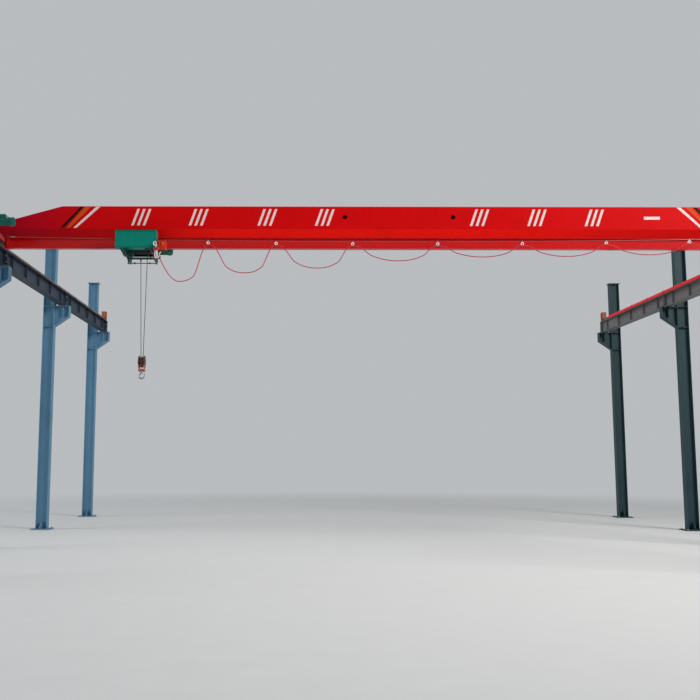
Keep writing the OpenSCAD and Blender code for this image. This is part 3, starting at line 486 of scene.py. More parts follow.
def paint(colour, gloss=0.35, dust=0.25, chips=0.5, marks=None, spread=0.16, specular=0.2):
    """Brushed or sprayed paint: cloudy colour, runs, settled dust on upward faces, chips down to rust.

    marks, where given, is a function of the material that returns (mask, colour) pairs painted over the coat: painted
    markings, and on some finishes painted light and shade.
    """
    m = Material()
    cloud = m.noise(0.9, 3.0)
    fine = m.noise(14.0, 5.0, 0.6)
    runs = m.noise(3.0, 4.0, 0.6, (6.0, 6.0, 0.5))
    tone = cloud.smooth(0.3, 0.7) * 0.6 + runs.smooth(0.35, 0.7) * 0.4
    base = tone.mix(shade_of(colour, 1 - spread), shade_of(colour, 1 + spread * 0.6))
    for mask, mark in (marks(m) if marks else []):
        base = (mask * (1 - fine.smooth(0.66, 0.74) * 0.6)).mix(base, mark)
    speck = m.noise(38.0, 6.0, 0.7).smooth(0.69 - 0.05 * chips, 0.72 - 0.04 * chips)
    chip = speck * m.noise(2.3, 3.0).smooth(0.5, 0.66)
    base = chip.mix(base, m.noise(60.0, 3.0).mix((0.09, 0.035, 0.016), (0.22, 0.1, 0.05)))
    settled = m.up.smooth(0.35, 0.95) * (0.55 + 0.45 * m.noise(5.0, 4.0))
    grime = m.noise(1.7, 5.0, 0.65).smooth(0.52, 0.75) * 0.3
    base = (settled * dust).mix(base, (0.42, 0.38, 0.33))
    base = (grime * (0.35 + dust)).mix(base, shade_of(colour, 0.35))
    rough = gloss + fine * 0.14 + settled * (1.2 * dust) + chip * 0.35
    height = fine * 0.5 + m.noise(120.0, 2.0) * 0.15 - chip * 0.8
    return m.set(base, rough, 0.0, height, 0.0012, 0.35, Specular_IOR_Level=specular)


def bare_steel(colour, rust=0.3, rough=0.4, metal=0.85, polish=None, marks=None):
    """Rolled or machined steel with a thin patchy rust film. polish is a mask where it is worn bright.

    marks is as for paint, and turns the metal to paint there.
    """
    m = Material()
    film = m.noise(4.0, 6.0, 0.65).smooth(0.62 - 0.3 * rust, 0.8 - 0.2 * rust)
    grain = m.noise(30.0, 4.0, 0.6)
    if polish:
        film = film * (1 - polish(m))
    base = film.mix(grain.mix(shade_of(colour, 0.8), shade_of(colour, 1.15)),
                    grain.mix((0.07, 0.03, 0.016), (0.2, 0.1, 0.055)))
    metallic = metal * (1 - film * 0.9)
    for mask, mark in (marks(m) if marks else []):
        base, metallic = mask.mix(base, mark), metallic * (1 - mask)
    return m.set(base, rough + film * 0.4, metallic, grain, 0.0008, 0.3)


def plain(colour, rough=0.5, spread=0.12, metal=0.0, scale=20.0, **fixed):
    """Moulded plastic, rubber or zinc: an even tone with fine mottling and a soft bump."""
    m = Material()
    fine = m.noise(scale, 4.0, 0.6)
    base = fine.smooth(0.3, 0.7).mix(shade_of(colour, 1 - spread), shade_of(colour, 1 + spread))
    return m.set(base, rough + fine * 0.1, metal, fine, 0.0006, 0.3, **fixed)


PAINTS = {}
MARK_WHITE = (0.72, 0.6, 0.58)
STRIPES = [((5.767, 1.08), (5.852, 1.03), MARK_WHITE), ((5.955, 0.97), (6.075, 0.84), (0.56, 0.07, 0.012)),
           ((6.102, 0.9), (6.176, 0.9), (0.012, 0.005, 0.006))]  # each edge as its place and its lean
TICK_PITCH, TICK_LEAN = 0.115, 0.35
TICK_GROUPS = [-5.05, -3.815, -2.53, -1.35, 1.74, 2.95, 4.04]


def girder_marks_and_painted_light(m):
    """Painted shade on the left end, darker and bluer, slanted stripes near both ends, groups of slanted ticks, a level
    bar and painted light on the downward sloping panel, for light bounced up from the floor.

    A stripe lies between two edges |x| = place + lean depth, and a tick where x + lean depth, taken modulo the
    pitch, is in a band. The ticks are kept within a short way of each group's middle.
    """
    depth = GIRDER_TOP - m.z
    side = 1 - abs(m.up).smooth(0.4, 0.6)
    # Painted shade: the left end darker and bluer, where less light falls on the girder, with the bluish cast of
    # daylight
    out = [((1 - m.x.smooth(-8.5, -5.2)) * 0.6, (0.2, 0.002, 0.02))]
    zone = depth.band(-0.1, 0.45, 0.004) * side
    far = abs(m.x + 0.02)
    for (near_at, near_lean), (away_at, away_lean), colour in STRIPES:
        outside = 1 - (far - away_lean * depth).past(away_at, 0.004)
        out.append(((far - near_lean * depth).past(near_at, 0.004) * outside * zone, colour))
    along = m.x + TICK_LEAN * depth + 20.0  # kept above 0 for the modulo
    ticks = along.maths("MODULO", along, TICK_PITCH).band(0.012, 0.062, 0.004)
    groups = 0.0
    for place in TICK_GROUPS:
        centre = round((place + 20.08) / TICK_PITCH) * TICK_PITCH + 0.037
        groups = abs(along - centre).band(-1, 0.16, 0.001) + groups
    out.append((groups * ticks * depth.band(0.06, 0.4, 0.004) * side, MARK_WHITE))
    out.append((abs(m.x - 5.26).band(-1, 0.16, 0.004) * depth.band(0.205, 0.265, 0.004) * side, MARK_WHITE))
    # Painted light: the downward sloping panel made brighter at mid span, for light bounced up from the floor
    slope = (m.up * -1).band(0.15, 0.9, 0.05) * (1 - m.y.past(GIRDER_Y, 0.02))
    out.append((slope * m.x.smooth(-6.5, -3) * (1 - m.x.smooth(1.5, 6) * 0.6), (1.0, 0.008, 0.004)))
    return out


def track_marks(m):
    """Bare steel where the trolley's wheels run on the lower flange."""
    run = abs(m.y - GIRDER_Y).band(0.02, 0.056, 0.003) * (m.z - GIRDER_Z).band(0.008, 0.03) * m.up.smooth(0.7, 0.9)
    return [(run, (0.3, 0.28, 0.26))]


def beam_painted_light_and_shade(m):
    """Painted light on the right beam, a pale grey tone for the daylight that falls on its inner face, and painted
    shade on the left one, a darker bluer tone.
    """
    return [(m.x.smooth(0, 4) * 0.75, (0.19, 0.19, 0.185)), ((1 - m.x.smooth(-4, 0)) * 0.7, (0.022, 0.042, 0.072))]


def left_columns_painted_daylight(m):
    """Painted light: a paler, bluer tone on the columns of the left row for the bright daylight that falls on them."""
    return [((1 - m.x.smooth(-4, 4)) * 0.8, (0.14, 0.31, 0.46))]


def wire_marks(m):
    """Paler wire towards the right end, and girder paint on the brackets that hold it."""
    return [(m.x.smooth(3, 7), (0.55, 0.3, 0.28)), (abs(m.x).past(7.575, 0.005), (0.3, 0.004, 0.004))]


def rail_polish(m):
    """Bright where the wheels run: the top of the rail."""
    return m.up.smooth(0.6, 0.95) * m.z.past(RAIL_TOP - 0.003, 0.001)


def block_marks(m):
    """Orange paint on the lower part of the bottom block, below the sheave's axle."""
    return [(1 - m.z.past(BLOCK[2] - 0.07, 0.005), (0.4, 0.12, 0.05))]


def sheave_marks(m):
    """Dark grease on the upper part of the sheave, where the rope runs off."""
    return [(m.z.past(BLOCK[2] - 0.02, 0.04) * 0.85, (0.05, 0.018, 0.014))]


def make_paints(s):
    """Fills PAINTS with the finish of each material slot, and with those of the small parts added here."""
    PAINTS.update({
        # The left row of columns takes painted daylight from its mark function
        "column_paint": paint(s.column_grey, 0.42, 0.2, 0.7, left_columns_painted_daylight),
        # The runway beams take painted light on the right and painted shade on the left from their mark function
        "runway_paint": paint((0.06, 0.062, 0.07), 0.5, 0.3, 0.9, beam_painted_light_and_shade),
        "stop_orange": paint((0.3, 0.09, 0.035), 0.45, 0.3, 0.9),
        "rail_steel": bare_steel((0.32, 0.3, 0.28), 0.95, 0.35, 0.8, rail_polish),
        "conductor_red": plain((0.74, 0.006, 0.01), 0.4, Specular_IOR_Level=0.25),
        "bracket_steel": paint((0.12, 0.05, 0.045), 0.5, 0.3, 0.9),
        # The girder's paint carries painted shade at its left end and painted bounce light on its sloping panel
        "girder_red": paint(s.girder_red, 0.34, 0.12, 0.25, girder_marks_and_painted_light, 0.07, 0.05),
        "track_red": paint(shade_of(s.girder_red, 0.95), 0.14, 0.1, 0.35, track_marks, 0.08, 0.32),
        "carriage_red": paint(s.carriage_red, 0.34, 0.2, 0.5, None, 0.12, 0.15),
        "wheel_steel": bare_steel((0.26, 0.25, 0.24), 0.5),
        "drive_green": paint((0.008, 0.15, 0.11), 0.36, 0.22, 0.4),
        "buffer_rubber": plain((0.02, 0.02, 0.02), 0.7),
        "collector_dark": plain((0.03, 0.03, 0.035), 0.5),
        "wire_steel": bare_steel((0.5, 0.09, 0.075), 0.25, 0.4, 0.6, None, wire_marks),
        "hanger_white": plain((0.8, 0.74, 0.71), 0.45, 0.06),
        "cable_red": plain(s.cable_pink, 0.5, 0.15),
        "hoist_green": paint(s.hoist_green, 0.36, 0.2, 0.5),
        "box_green": paint((0.003, 0.2, 0.15), 0.36, 0.1, 0.2, None, 0.08, 0.1),
        "rope_steel": bare_steel((0.035, 0.034, 0.034), 0.1, 0.6, 0.3),
        "drum_steel": bare_steel((0.07, 0.065, 0.06), 0.3, 0.5, 0.5),
        "alarm_orange": paint((0.68, 0.04, 0.014), 0.38, 0.12, 0.3, None, 0.1, 0.15),
        "arm_grey": paint((0.05, 0.06, 0.06), 0.45, 0.2, 0.6),
        "block_red": paint((0.075, 0.018, 0.016), 0.42, 0.15, 0.9, block_marks),
        "sheave_orange": paint((0.42, 0.12, 0.045), 0.42, 0.15, 0.8, sheave_marks),
        "hook_steel": bare_steel((0.26, 0.3, 0.35), 0.2, 0.45, 0.7),
        "latch_steel": bare_steel((0.45, 0.44, 0.43), 0.2, 0.35),
        "zinc": plain((0.3, 0.3, 0.29), 0.42, 0.2, 0.7, 60.0),
        "black_cable": plain((0.015, 0.015, 0.016), 0.5),
        "white_cable": plain((0.75, 0.72, 0.7), 0.45, 0.06),
        "lens": plain((0.5, 0.045, 0.012), 0.25, 0.1, 0.0, 90.0),
    })
    for slot, material in PAINTS.items():
        material.name = slot.replace("_", " ").capitalize()


# Operators


class CRANE_OT_camera(bpy.types.Operator):
    """Set the camera at the photograph's viewpoint, near one end of the runway and low"""

    bl_idname = "crane.camera"
    bl_label = "Camera"

    def execute(self, context):
        s = context.scene.crane_stage
        data = bpy.data.cameras.new("Camera")
        data.sensor_width, data.lens, data.shift_x = 36.0, s.lens, 0.0744
        data.clip_end = 200
        camera = placed("Camera", data)
        camera.location = (-1.83, GIRDER_Y - 17.353, 1.924)
        camera.rotation_euler = (math.pi / 2 + s.pitch, -0.0016, 0)
        context.scene.camera = camera
        return {"FINISHED"}


class CRANE_OT_finishes(bpy.types.Operator):
    """Give every CAD node the finish of its material slot"""

    bl_idname = "crane.finishes"
    bl_label = "Finishes"

    def execute(self, context):
        make_paints(context.scene.crane_finish)
        for part in frame["record"]["subparts"]:
            materials = frame["nodes"][part["node"]].data.materials
            materials.clear()
            materials.append(PAINTS[part["material_slot"]])
        return {"FINISHED"}


class CRANE_OT_runway(bpy.types.Operator):
    """Bolt down the columns, the beams and the rails, and clamp the conductor"""

    bl_idname = "crane.runway"
    bl_label = "Runway fixings"

    def execute(self, context):
        columns = [(s, y) for s in SIDES for y in COLUMN_Y]
        feet = [(s * COLUMN_X, y, 0.024) for s, y in columns]
        bolts("anchor_nuts", "runway", (0.024, "z", 1, around(feet, both(0.2), both(0.2))))
        caps = [(s * COLUMN_X, y, COLUMN_TOP - 0.0242) for s, y in columns]
        bolts("cap_bolts", "runway", (0.02, "z", -1, around(caps, both(0.08), both(0.06))))
        beam_ends = [(s, y, e) for s, y in columns for e in SIDES if abs(y + 0.055 * e) < RUNWAY_END]
        seats = around([(s * RAIL_X, y + 0.055 * e, BEAM_LOW) for s, y, e in beam_ends], both(0.07))
        bolts("seat_bolts", "runway", (0.02, "z", 1, around(seats, zs=[0.012])),
              (0.02, "z", -1, around(seats, zs=[-0.0142])))
        bolts("splice_bolts", "runway", *[(0.02, "y", way, around(
            [(s * RAIL_X, y + 0.0152 * e, BEAM_LOW) for s, y, e in beam_ends if e == way], both(0.07), zs=(0.1, 0.24)))
            for way in (1, -1)])
        clip = joined([slab((0, 0, 0.007), (0.05, 0.055, 0.014)), slab((-0.019, 0, 0.017), (0.026, 0.05, 0.008))])
        rows = [(s * RAIL_X, y, BEAM_TOP) for s in SIDES for y in np.arange(-7.2, 7.21, 0.6)]
        right, left = around(rows, [0.072]), around(rows, [-0.072])
        piece("rail_clips", "runway", "bracket_steel", copies(clip, right),
              copies((clip[0] * [-1, -1, 1], clip[1]), left), bevel=0.002)
        bolts("rail_clip_bolts", "runway", (0.014, "z", 1, around(right + left, zs=[0.014])))
        stops = [(s * RAIL_X, e * (RUNWAY_END - 0.07), BEAM_TOP + 0.014) for s in SIDES for e in SIDES]
        bolts("stop_bolts", "runway", (0.016, "z", 1, around(stops, both(0.083), both(0.04))))
        x, _, z = middle("conductor_rail")
        tall = high("conductor_rail")[2] - low("conductor_rail")[2]
        hangers = 1.12 * (np.arange(12) - 5.5) - 0.795
        clamps = around([(x, y, z + 0.004) for y in hangers], both(0.0237))
        piece("conductor_clamps", "runway", "bracket_steel",
              *[slab(place, (0.003, 0.03, tall + 0.008)) for place in clamps], bevel=0.001)
        bolts("conductor_bolts", "runway",
              (0.01, "x", 1, [(x + 0.0253, y, z - tall / 2 + 0.03) for y in hangers]),
              (0.01, "z", 1, [(x, y, BEAM_TOP + 0.0124) for y in hangers]),
              (0.012, "z", 1, [(RAIL_X - 0.088, y, BEAM_TOP + 0.0124) for y in hangers]))
        piece("conductor_joints", "runway", "conductor_red",
              *[sleeve(0.052, tall + 0.004, 0.004, (x, y, z + 0.001), 0.11) for y in (-5.3, -1.9, 1.4, 4.7)])
        height = np.linspace(BEAM_LOW - 0.55, BEAM_LOW - 0.02, 60)
        piece("bracket_welds", "runway", "column_paint",
              *[bead(points(s * (COLUMN_FACE - 0.001), y + dy, height), 0.005) for s, y in columns
                for dy in both(0.007)])
        return {"FINISHED"}


class CRANE_OT_bridge(bpy.types.Operator):
    """Bolt the girder to its carriages, and add their caps, sweepers and drives"""

    bl_idname = "crane.bridge"
    bl_label = "Bridge fittings"

    def execute(self, context):
        corners = [(s, e) for s in SIDES for e in SIDES]
        drives = [(s, np.array([s * DRIVE_FAN_X, GIRDER_Y - WHEEL_Y + 0.3, AXLE_Z - 0.11])) for s in SIDES]
        for name, (s, fan) in zip(("left", "right"), drives):
            path = np.array([(0.165, 0, 0.105), (0.02, 0.04, 0.1), (0.1, 0.34, -0.06), (0.7218, 0.3, 0.1)])
            piece(f"drive_cable_{name}", "bridge", "black_cable", tube(bezier(*(path * [s, 1, 1] + fan)), 0.008))
        girder_end = RAIL_X - CARRIAGE_HALF_W - END_PLATE_T - SEAT_GAP - 0.0012
        bolts("end_plate_bolts", "bridge", *[(0.02, "x", -s, around(
            [(s * girder_end, GIRDER_Y, CARRIAGE_Z)], ys=(-0.28, -0.235, 0.235, 0.28), zs=(-0.11, 0, 0.11)))
            for s in SIDES])
        hubs = [(side, np.array([s * RAIL_X + side * (CARRIAGE_HALF_W + 0.0191), GIRDER_Y + e * WHEEL_Y, AXLE_Z]))
                for s, e in corners for side in SIDES if (side, e) != (-s, -1)]  # the drive hides the fourth hub
        cap = lathe([(0.0301, 0), (0.068, 0), (0.068, 0.01), (0.058, 0.016), (0.036, 0.017), (0.0301, 0.014)],
                    axis="x", ends=False)
        piece("axle_caps", "bridge", "carriage_red",
              *[shifted(cap if side > 0 else mirrored(cap, "x"), hub) for side, hub in hubs])
        bolts("axle_cap_bolts", "bridge", *[
            (0.01, "x", way, [place for side, hub in hubs if side == way
                              for place in circle(hub + (side * 0.011, 0, 0), 0.054, 6, 0.3)]) for way in (1, -1)])
        bolts("carriage_end_bolts", "bridge", *[
            (0.014, "y", e, around([(s * RAIL_X, GIRDER_Y + e * CARRIAGE_END, CARRIAGE_Z)], both(0.09), zs=both(0.14)))
            for s, e in corners])
        sweeper = joined([*[slab((dx, 0, 0.006), (0.012, 0.05, 0.048)) for dx in both(0.036)],
                          slab((0, 0, 0.022), (0.084, 0.05, 0.012))])
        piece("rail_sweepers", "bridge", "carriage_red", copies(sweeper, [
            (s * RAIL_X, GIRDER_Y + e * (CARRIAGE_END - 0.03), RAIL_TOP) for s, e in corners]), bevel=0.002)
        piece("drive_grilles", "bridge", "drive_green", *[grille(0.08, fan - (s * 0.001, 0, 0)) for s, fan in drives])
        cowl = [(0.0885, -0.033), (0.0895, -0.028), (0.0895, 0.028), (0.0885, 0.033)]
        piece("drive_cowls", "bridge", "drive_green",
              *[lathe(cowl, fan + (s * 0.035, 0, 0), "x", 36, ends=False) for s, fan in drives])
        boxes = [(s, fan + (s * 0.22, 0, 0.138)) for s, fan in drives]
        lid = joined([slab((0, 0, -0.004), (0.118, 0.098, 0.008)), slab((0, 0, 0.004), (0.1, 0.08, 0.008))])
        piece("drive_box_lids", "bridge", "drive_green", copies(lid, [box for _, box in boxes]), bevel=0.003)
        gland = [(0.014, -0.02), (0.014, 0.012), (0.011, 0.02)]
        piece("drive_glands", "bridge", "zinc", *[shape for s, box in boxes for shape in (
            copies(bolt(0.008, "z"), around([box], both(0.052), both(0.042))),
            lathe(gland, box - (s * 0.057, 0, 0.033), "x", 12))])
        piece("track_welds", "bridge", "track_red", *[
            bead(points(np.linspace(-7.6, 7.6, 900), GIRDER_Y + dy, GIRDER_Z + 0.2215), 0.004) for dy in both(0.0615)])
        foot, head = low("current_collector"), high("current_collector")
        foot[1] = head[1] = (foot[1] + head[1]) / 2
        path = bezier(foot + (0.03, -0.02, 0.05), foot + (-0.01, -0.06, 0.2), head + (-0.08, -0.1, -0.1),
                      head + (-0.012, -0.04, -0.03))
        piece("collector_cable", "bridge", "black_cable", tube(path, 0.007))
        bolts("collector_bolts", "bridge",
              (0.012, "x", -1, around([head - (0.0102, 0, 0.03)], ys=both(0.045), zs=(-0.025, 0.015))))
        return {"FINISHED"}


def wire_at(x):
    """Place on the carrying wire at x: its height is a shallow parabola between its ends."""
    return np.array([x, WIRE_Y, WIRE_Z - WIRE_DIP * (1 - (x / WIRE_END) ** 2)])


def soft_step(v):
    """The smooth step 3 v^2 - 2 v^3, held at 1 beyond v = 1."""
    v = np.minimum(v, 1.0)
    return v * v * (3 - 2 * v)


def festoon_loop(n):
    """Centreline of one cable loop: the line between its ends less the sag times its share at each place.

    The share is 1 - |2 t^1.1 - 1| to a power that grows with the sag, eased in below a hanger.
    """
    a, b = FESTOON_X[n], FESTOON_X[n + 1]
    sag, span = FESTOON_SAG[n], b - a
    t = np.linspace(0, 1, 65)
    start = GIRDER_Z - TOW_DROP if n == 0 else wire_at(a)[2] - CABLE_DROP
    end = wire_at(b)[2] - CABLE_DROP
    part = 1 - np.abs(2 * t ** 1.1 - 1) ** (1.9 + sag)
    if n > 0:
        part = part * soft_step(t * span / 0.38)
    if n < len(FESTOON_SAG) - 1:
        part = part * soft_step((1 - t) * span / 0.29)
    return points(a + span * t, WIRE_Y, start + (end - start) * t - sag * part)


def step_back(w):
    """The t at which the smooth step 3 t^2 - 2 t^3 has the value w."""
    return 0.5 - math.sin(math.asin(1 - 2 * min(max(w, 0.0), 1.0)) / 3)


def slide_with(obj, x_from, x_to):
    """Work out a blend's start and length for a piece from the shares of the trolley's travel at x_from and x_to, and
    bake the piece's transform; the blend itself is not applied.

    A hanger moves as one, so its blend length is far longer than the piece.
    """
    rigid = x_from == x_to
    a, b = (step_back((FESTOON_X[-1] - x) / (FESTOON_X[-1] - FESTOON_X[0])) for x in (x_from, x_to))
    length = 4000.0 if rigid else (x_to - x_from) / (a - b)
    start = x_from + a * length
    start - length
    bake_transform(obj)


class CRANE_OT_festoon(bpy.types.Operator):
    """Hang the looped cable on sliding rings from the carrying wire"""

    bl_idname = "crane.festoon"
    bl_label = "Festoon"

    def execute(self, context):
        s = context.scene.crane_festoon
        for n in range(len(FESTOON_SAG)):
            path = festoon_loop(n)
            obj = piece(f"festoon_loop_{n + 1}", None, "cable_red", tube(path, s.cable_d / 2, 14))
            slide_with(obj, FESTOON_X[n], FESTOON_X[n + 1])
        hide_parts("festoon_cable")
        for name, path, body in (("festoon_boot_1", festoon_loop(0)[:2], "trolley"),
                                 ("festoon_boot_2", festoon_loop(len(FESTOON_SAG) - 1)[:-3:-1], "bridge")):
            line = through(path)
            taper = np.linspace(0.017, s.cable_d / 2 + 0.0008, len(line))
            ribs = 1 + 0.08 * np.cos(np.arange(len(line)) * np.pi)
            piece(name, body, "black_cable", tube(line, taper * ribs, 14))
        rings = []
        for n, x in enumerate(FESTOON_X[1:-1], 1):
            hub = wire_at(x) - (0, 0, 0.048)
            r = s.hanger_r
            rings.append(piece(f"festoon_ring_{n}", None, "hanger_white", lathe(
                [(r, -0.02), (r, 0.02), (0.026, 0.022), (0.019, 0.018), (0.015, 0.0), (0.019, -0.018),
                 (0.026, -0.022), (r, -0.02)], hub, "y", ends=False)))
            clip = piece(f"festoon_clip_{n}", None, "cable_red", lathe(
                [(0.0116, -0.03), (0.0116, 0.03), (0.0092, 0.03), (0.0092, -0.03), (0.0116, -0.03)],
                hub - (0, 0, 0.0403), "x", 20, ends=False))
            strap = piece(f"festoon_strap_{n}", None, "latch_steel", *[slab(hub + (0, dy, dz), (0.014, wide, tall)) for
                          dy, dz, wide, tall in ((0.008, 0.036, 0.003, 0.036), (0, 0.0545, 0.019, 0.003),
                                                 (-0.008, 0.047, 0.003, 0.014))], bevel=0.001)
            for obj in (rings[-1], clip, strap):
                slide_with(obj, x, x)
        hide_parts("festoon_hangers")
        barrel = joined([lathe([(0.0105, -0.035), (0.0105, 0.035)], axis="x", sides=6),
                         *[shifted(bolt(0.012, "x", way), (way * 0.035, 0, 0)) for way in SIDES]])
        piece("wire_turnbuckles", "bridge", "zinc", copies(barrel, [wire_at(x) for x in both(WIRE_END - 0.07)]))
        return {"FINISHED"}


class CRANE_OT_ropes(bpy.types.Operator):
    """Reeve the two stranded rope falls from the hoist to the hook block, and lay the turns on the drum"""

    bl_idname = "crane.ropes"
    bl_label = "Hoist ropes"

    def execute(self, context):
        hook_x, hook_z = float(BLOCK[0]), float(BLOCK[2])
        tops = [(TROLLEY_X + 0.08167, GIRDER_Y + 0.13755, DRUM[2]),
                (TROLLEY_X - 0.008, GIRDER_Y - SHEAVE_R, GIRDER_Z - 0.286)]
        falls = []
        for n, (top, side) in enumerate(zip(tops, (1, -1))):
            path = np.linspace(top, (hook_x, GIRDER_Y + side * SHEAVE_R, hook_z), 260)
            falls.append(piece(f"rope_fall_{n + 1}", None, "rope_steel", tube(path, ROPE_R, 18, ROPE_LAY)))
            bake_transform(falls[-1])
        a = np.linspace(0, np.pi, 40)
        wrap = points(hook_x, GIRDER_Y + SHEAVE_R * np.cos(a), hook_z - SHEAVE_R * np.sin(a))
        piece("rope_wrap", "hook_block", "rope_steel", tube(wrap, ROPE_R, 18, ROPE_LAY))
        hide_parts("hoist_ropes")
        pitch = 0.42 / 18
        piece("drum_turns", "trolley", "rope_steel",
              *[ring(0.1204, ROPE_R, DRUM + ((n - 8.5) * pitch, 0, 0), 11, 48) for n in range(13)])
        return {"FINISHED"}


# The hoist's loose leads, from HOIST

GLAND_X = [-0.355, -0.3, -0.245, 0.135, 0.185, 0.235, 0.285]
GLAND_Y = -0.39
BOX_FLOOR = -0.08


def millimetres(*places):
    """Places given in millimetres, as metres."""
    return np.array(places) / 1000


LEADS = [  # gland, radius, finish, and the three places after the gland's mouth
    (0, 0.008, "black_cable", millimetres((-335, -380, -180), (-310, -120, -170), (-340, 120, -90))),
    (1, 0.007, "black_cable", millimetres((-300, -390, -280), (-200, -300, -240), (-170, -130, -30))),
    (3, 0.007, "black_cable", millimetres((145, -390, -280), (300, -200, -240), (262, -20, -220))),
    (5, 0.008, "alarm_orange", millimetres((235, -400, -210), (420, -360, -200), (430, -335, -120))),
    (6, 0.009, "cable_red", millimetres((285, -420, -190), (360, -420, -160), (370, -250, -210))),
]
SPARE_START = millimetres((349.5, -400, -30), (362, -420, -32), (360, -460, -30), (341, -490, -18))
SPARE_HANK = millimetres(
    (366, -552, -45), (354, -535, -80), (342, -520, -120), (337, -520, -200), (337, -520, -270), (350, -515, -300),
    (363, -510, -270), (363, -506, -190), (366, -504, -130), (374, -502, -105), (382, -500, -150), (383, -498, -260),
    (397, -495, -296), (411, -490, -260), (412, -460, -200), (414, -410, -175), (420, -360, -165), (426, -336, -108.5))
SPARE_PEG = millimetres((338, -489, -4), (338, -520, -5), (338, -572, -4), (338, -579, 4))
RED_LEAD = millimetres(
    (235, -390, -100), (260, -410, -160), (300, -470, -200), (340, -492, -150), (368, -490, -90), (378, -486, -80),
    (386, -482, -100), (380, -480, -180), (366, -488, -260), (362, -500, -320))


class CRANE_OT_hoist(bpy.types.Operator):
    """Fit the hoist's door, cables, covers, nuts and springs"""

    bl_idname = "crane.hoist"
    bl_label = "Hoist fittings"

    def execute(self, context):
        self.control_box()
        self.leads()
        self.drives()
        self.alarm()
        piece("trolley_motor_grille", "trolley", "drive_green",
              grille(0.042, (TROLLEY_X - 0.167, GIRDER_Y - 0.1503, TROLLEY_AXLE_Z - 0.012), 3))
        bolts("side_plate_bolts", "trolley", (0.014, "y", 1, around([HOIST + (0, 0.0842, -0.005)],
                                                                    (-0.2, -0.07, 0.07, 0.2))))
        return {"FINISHED"}

    def control_box(self):
        """The raised rim, hinges and latches of the box's door, and the cable glands in its floor."""
        door = HOIST + (-0.055, -0.484, 0.0925)
        wide, tall, lip = 0.786, 0.321, 0.014
        rim = [slab(door + (e * (wide - lip) / 2, -0.003, 0), (lip, 0.008, tall)) for e in SIDES]
        rim += [slab(door + (0, -0.003, e * (tall - lip) / 2), (wide - 2 * lip, 0.008, lip)) for e in SIDES]
        piece("box_door_rim", "trolley", "box_green", *rim, bevel=0.003)
        hinge = lathe([(0.006, -0.03), (0.007, -0.028), (0.007, 0.028), (0.006, 0.03)], sides=14)
        latch = mirrored(lathe([(0.014, 0.0), (0.014, 0.004), (0.011, 0.006), (0.005, 0.006)], axis="y", sides=20), "y")
        piece("box_hinges", "trolley", "box_green",
              copies(hinge, around([door + (-wide / 2 - 0.004, 0.001, 0)], zs=both(0.11))),
              copies(latch, around([door + (wide / 2 - 0.045, -0.001, 0)], zs=both(0.1))))
        gland = lathe([(0.013, -0.028), (0.016, -0.026), (0.016, -0.01), (0.019, -0.008), (0.019, 0.001)], sides=12)
        piece("box_glands", "trolley", "black_cable", copies(gland, [HOIST + (x, GLAND_Y, BOX_FLOOR) for x in GLAND_X]))

    def leads(self):
        """The leads from the glands, and the coiled spare lead with its red one on a peg beside the box."""
        for n, (gland, radius, slot, places) in enumerate(LEADS, 1):
            path = bezier((GLAND_X[gland], GLAND_Y, BOX_FLOOR - 0.02), *places) + HOIST
            piece(f"hoist_cable_{n}", "trolley", slot, tube(path, radius))
        a = np.linspace(np.pi, 8 * np.pi, 43)
        turn = (a - np.pi) / (2 * np.pi)
        out = 0.4 + 0.6 * turn / 3.5
        coil = points(0.338 + 0.03 * out * np.cos(a), -0.503 - 0.0155 * turn, -0.015 + 0.044 * out * np.sin(a))
        piece("bundle_white", "trolley", "white_cable",
              tube(through([*SPARE_START, *coil, *SPARE_HANK]) + HOIST, 0.0078))
        q = np.linspace(0, 9 * np.pi, 150)
        wrap = points(0.357 + 0.049 * np.cos(q), -0.507 + 0.034 * np.sin(q), -0.09 - 0.0125 * q / (2 * np.pi))
        piece("bundle_red", "trolley", "cable_red", tube(through(RED_LEAD) + HOIST, 0.0078),
              tube(wrap + HOIST, 0.0062, 10))
        plug, faces = lathe([(0.006, 0.03), (0.012, 0.026), (0.02, 0.018), (0.02, -0.03), (0.016, -0.034),
                             (0.004, -0.036)], HOIST + (0.362, -0.5, -0.345), sides=20)
        piece("bundle_plug", "trolley", "black_cable", (plug, flipped(faces)))
        piece("bundle_hook", "trolley", "zinc", tube(through(SPARE_PEG) + HOIST, 0.004, 10))

    def drives(self):
        """The motor's grille and box, the gear case's bolts, the axle and frame nuts and the limit rod's springs."""
        piece("motor_grille", "trolley", "drive_green", grille(0.1, DRUM + (0.5648, 0, 0), 6))
        lid = np.array([TROLLEY_X + 0.41, GIRDER_Y + 0.0975, DRUM[2] + 0.03])
        piece("motor_box", "trolley", "drive_green", slab(lid + (0, 0.018, 0), (0.12, 0.03, 0.1)),
              slab(lid, (0.126, 0.008, 0.106)), bevel=0.003)
        bolts("motor_box_bolts", "trolley", (0.008, "y", -1, around([lid], both(0.052), [-0.004], both(0.042))))
        bolts("gear_case_bolts", "trolley", (0.012, "x", -1, circle(DRUM - (0.4043, 0, 0), 0.15, 8, np.pi / 2)))
        plugs = [DRUM - (0.4468, 0.09, 0.06), DRUM - (0.4468, 0.07, -0.09)]
        bolts("gear_case_plugs", "trolley", (0.02, "x", -1, plugs))
        axles = around([(TROLLEY_X, GIRDER_Y + 0.084, TROLLEY_AXLE_Z)], both(0.17))
        bolts("trolley_axle_nuts", "trolley", (0.022, "y", 1, axles))
        rod = HOIST - (0, 0, 0.294)
        for n, (start, end) in enumerate(((0.168, 0.262), (-0.262, -0.168)), 1):
            x = np.linspace(start, end, 220)
            q = np.linspace(0, 7 * 2 * np.pi, 220)
            piece(f"limit_spring_{n}", "trolley", "latch_steel",
                  tube(points(x, 0.0135 * np.cos(q), 0.0135 * np.sin(q)) + rod, 0.002, 8))
        bolts("frame_nuts", "trolley", (0.016, "y", 1, around([rod + (0, 0.02, 0.06)], both(0.267))))

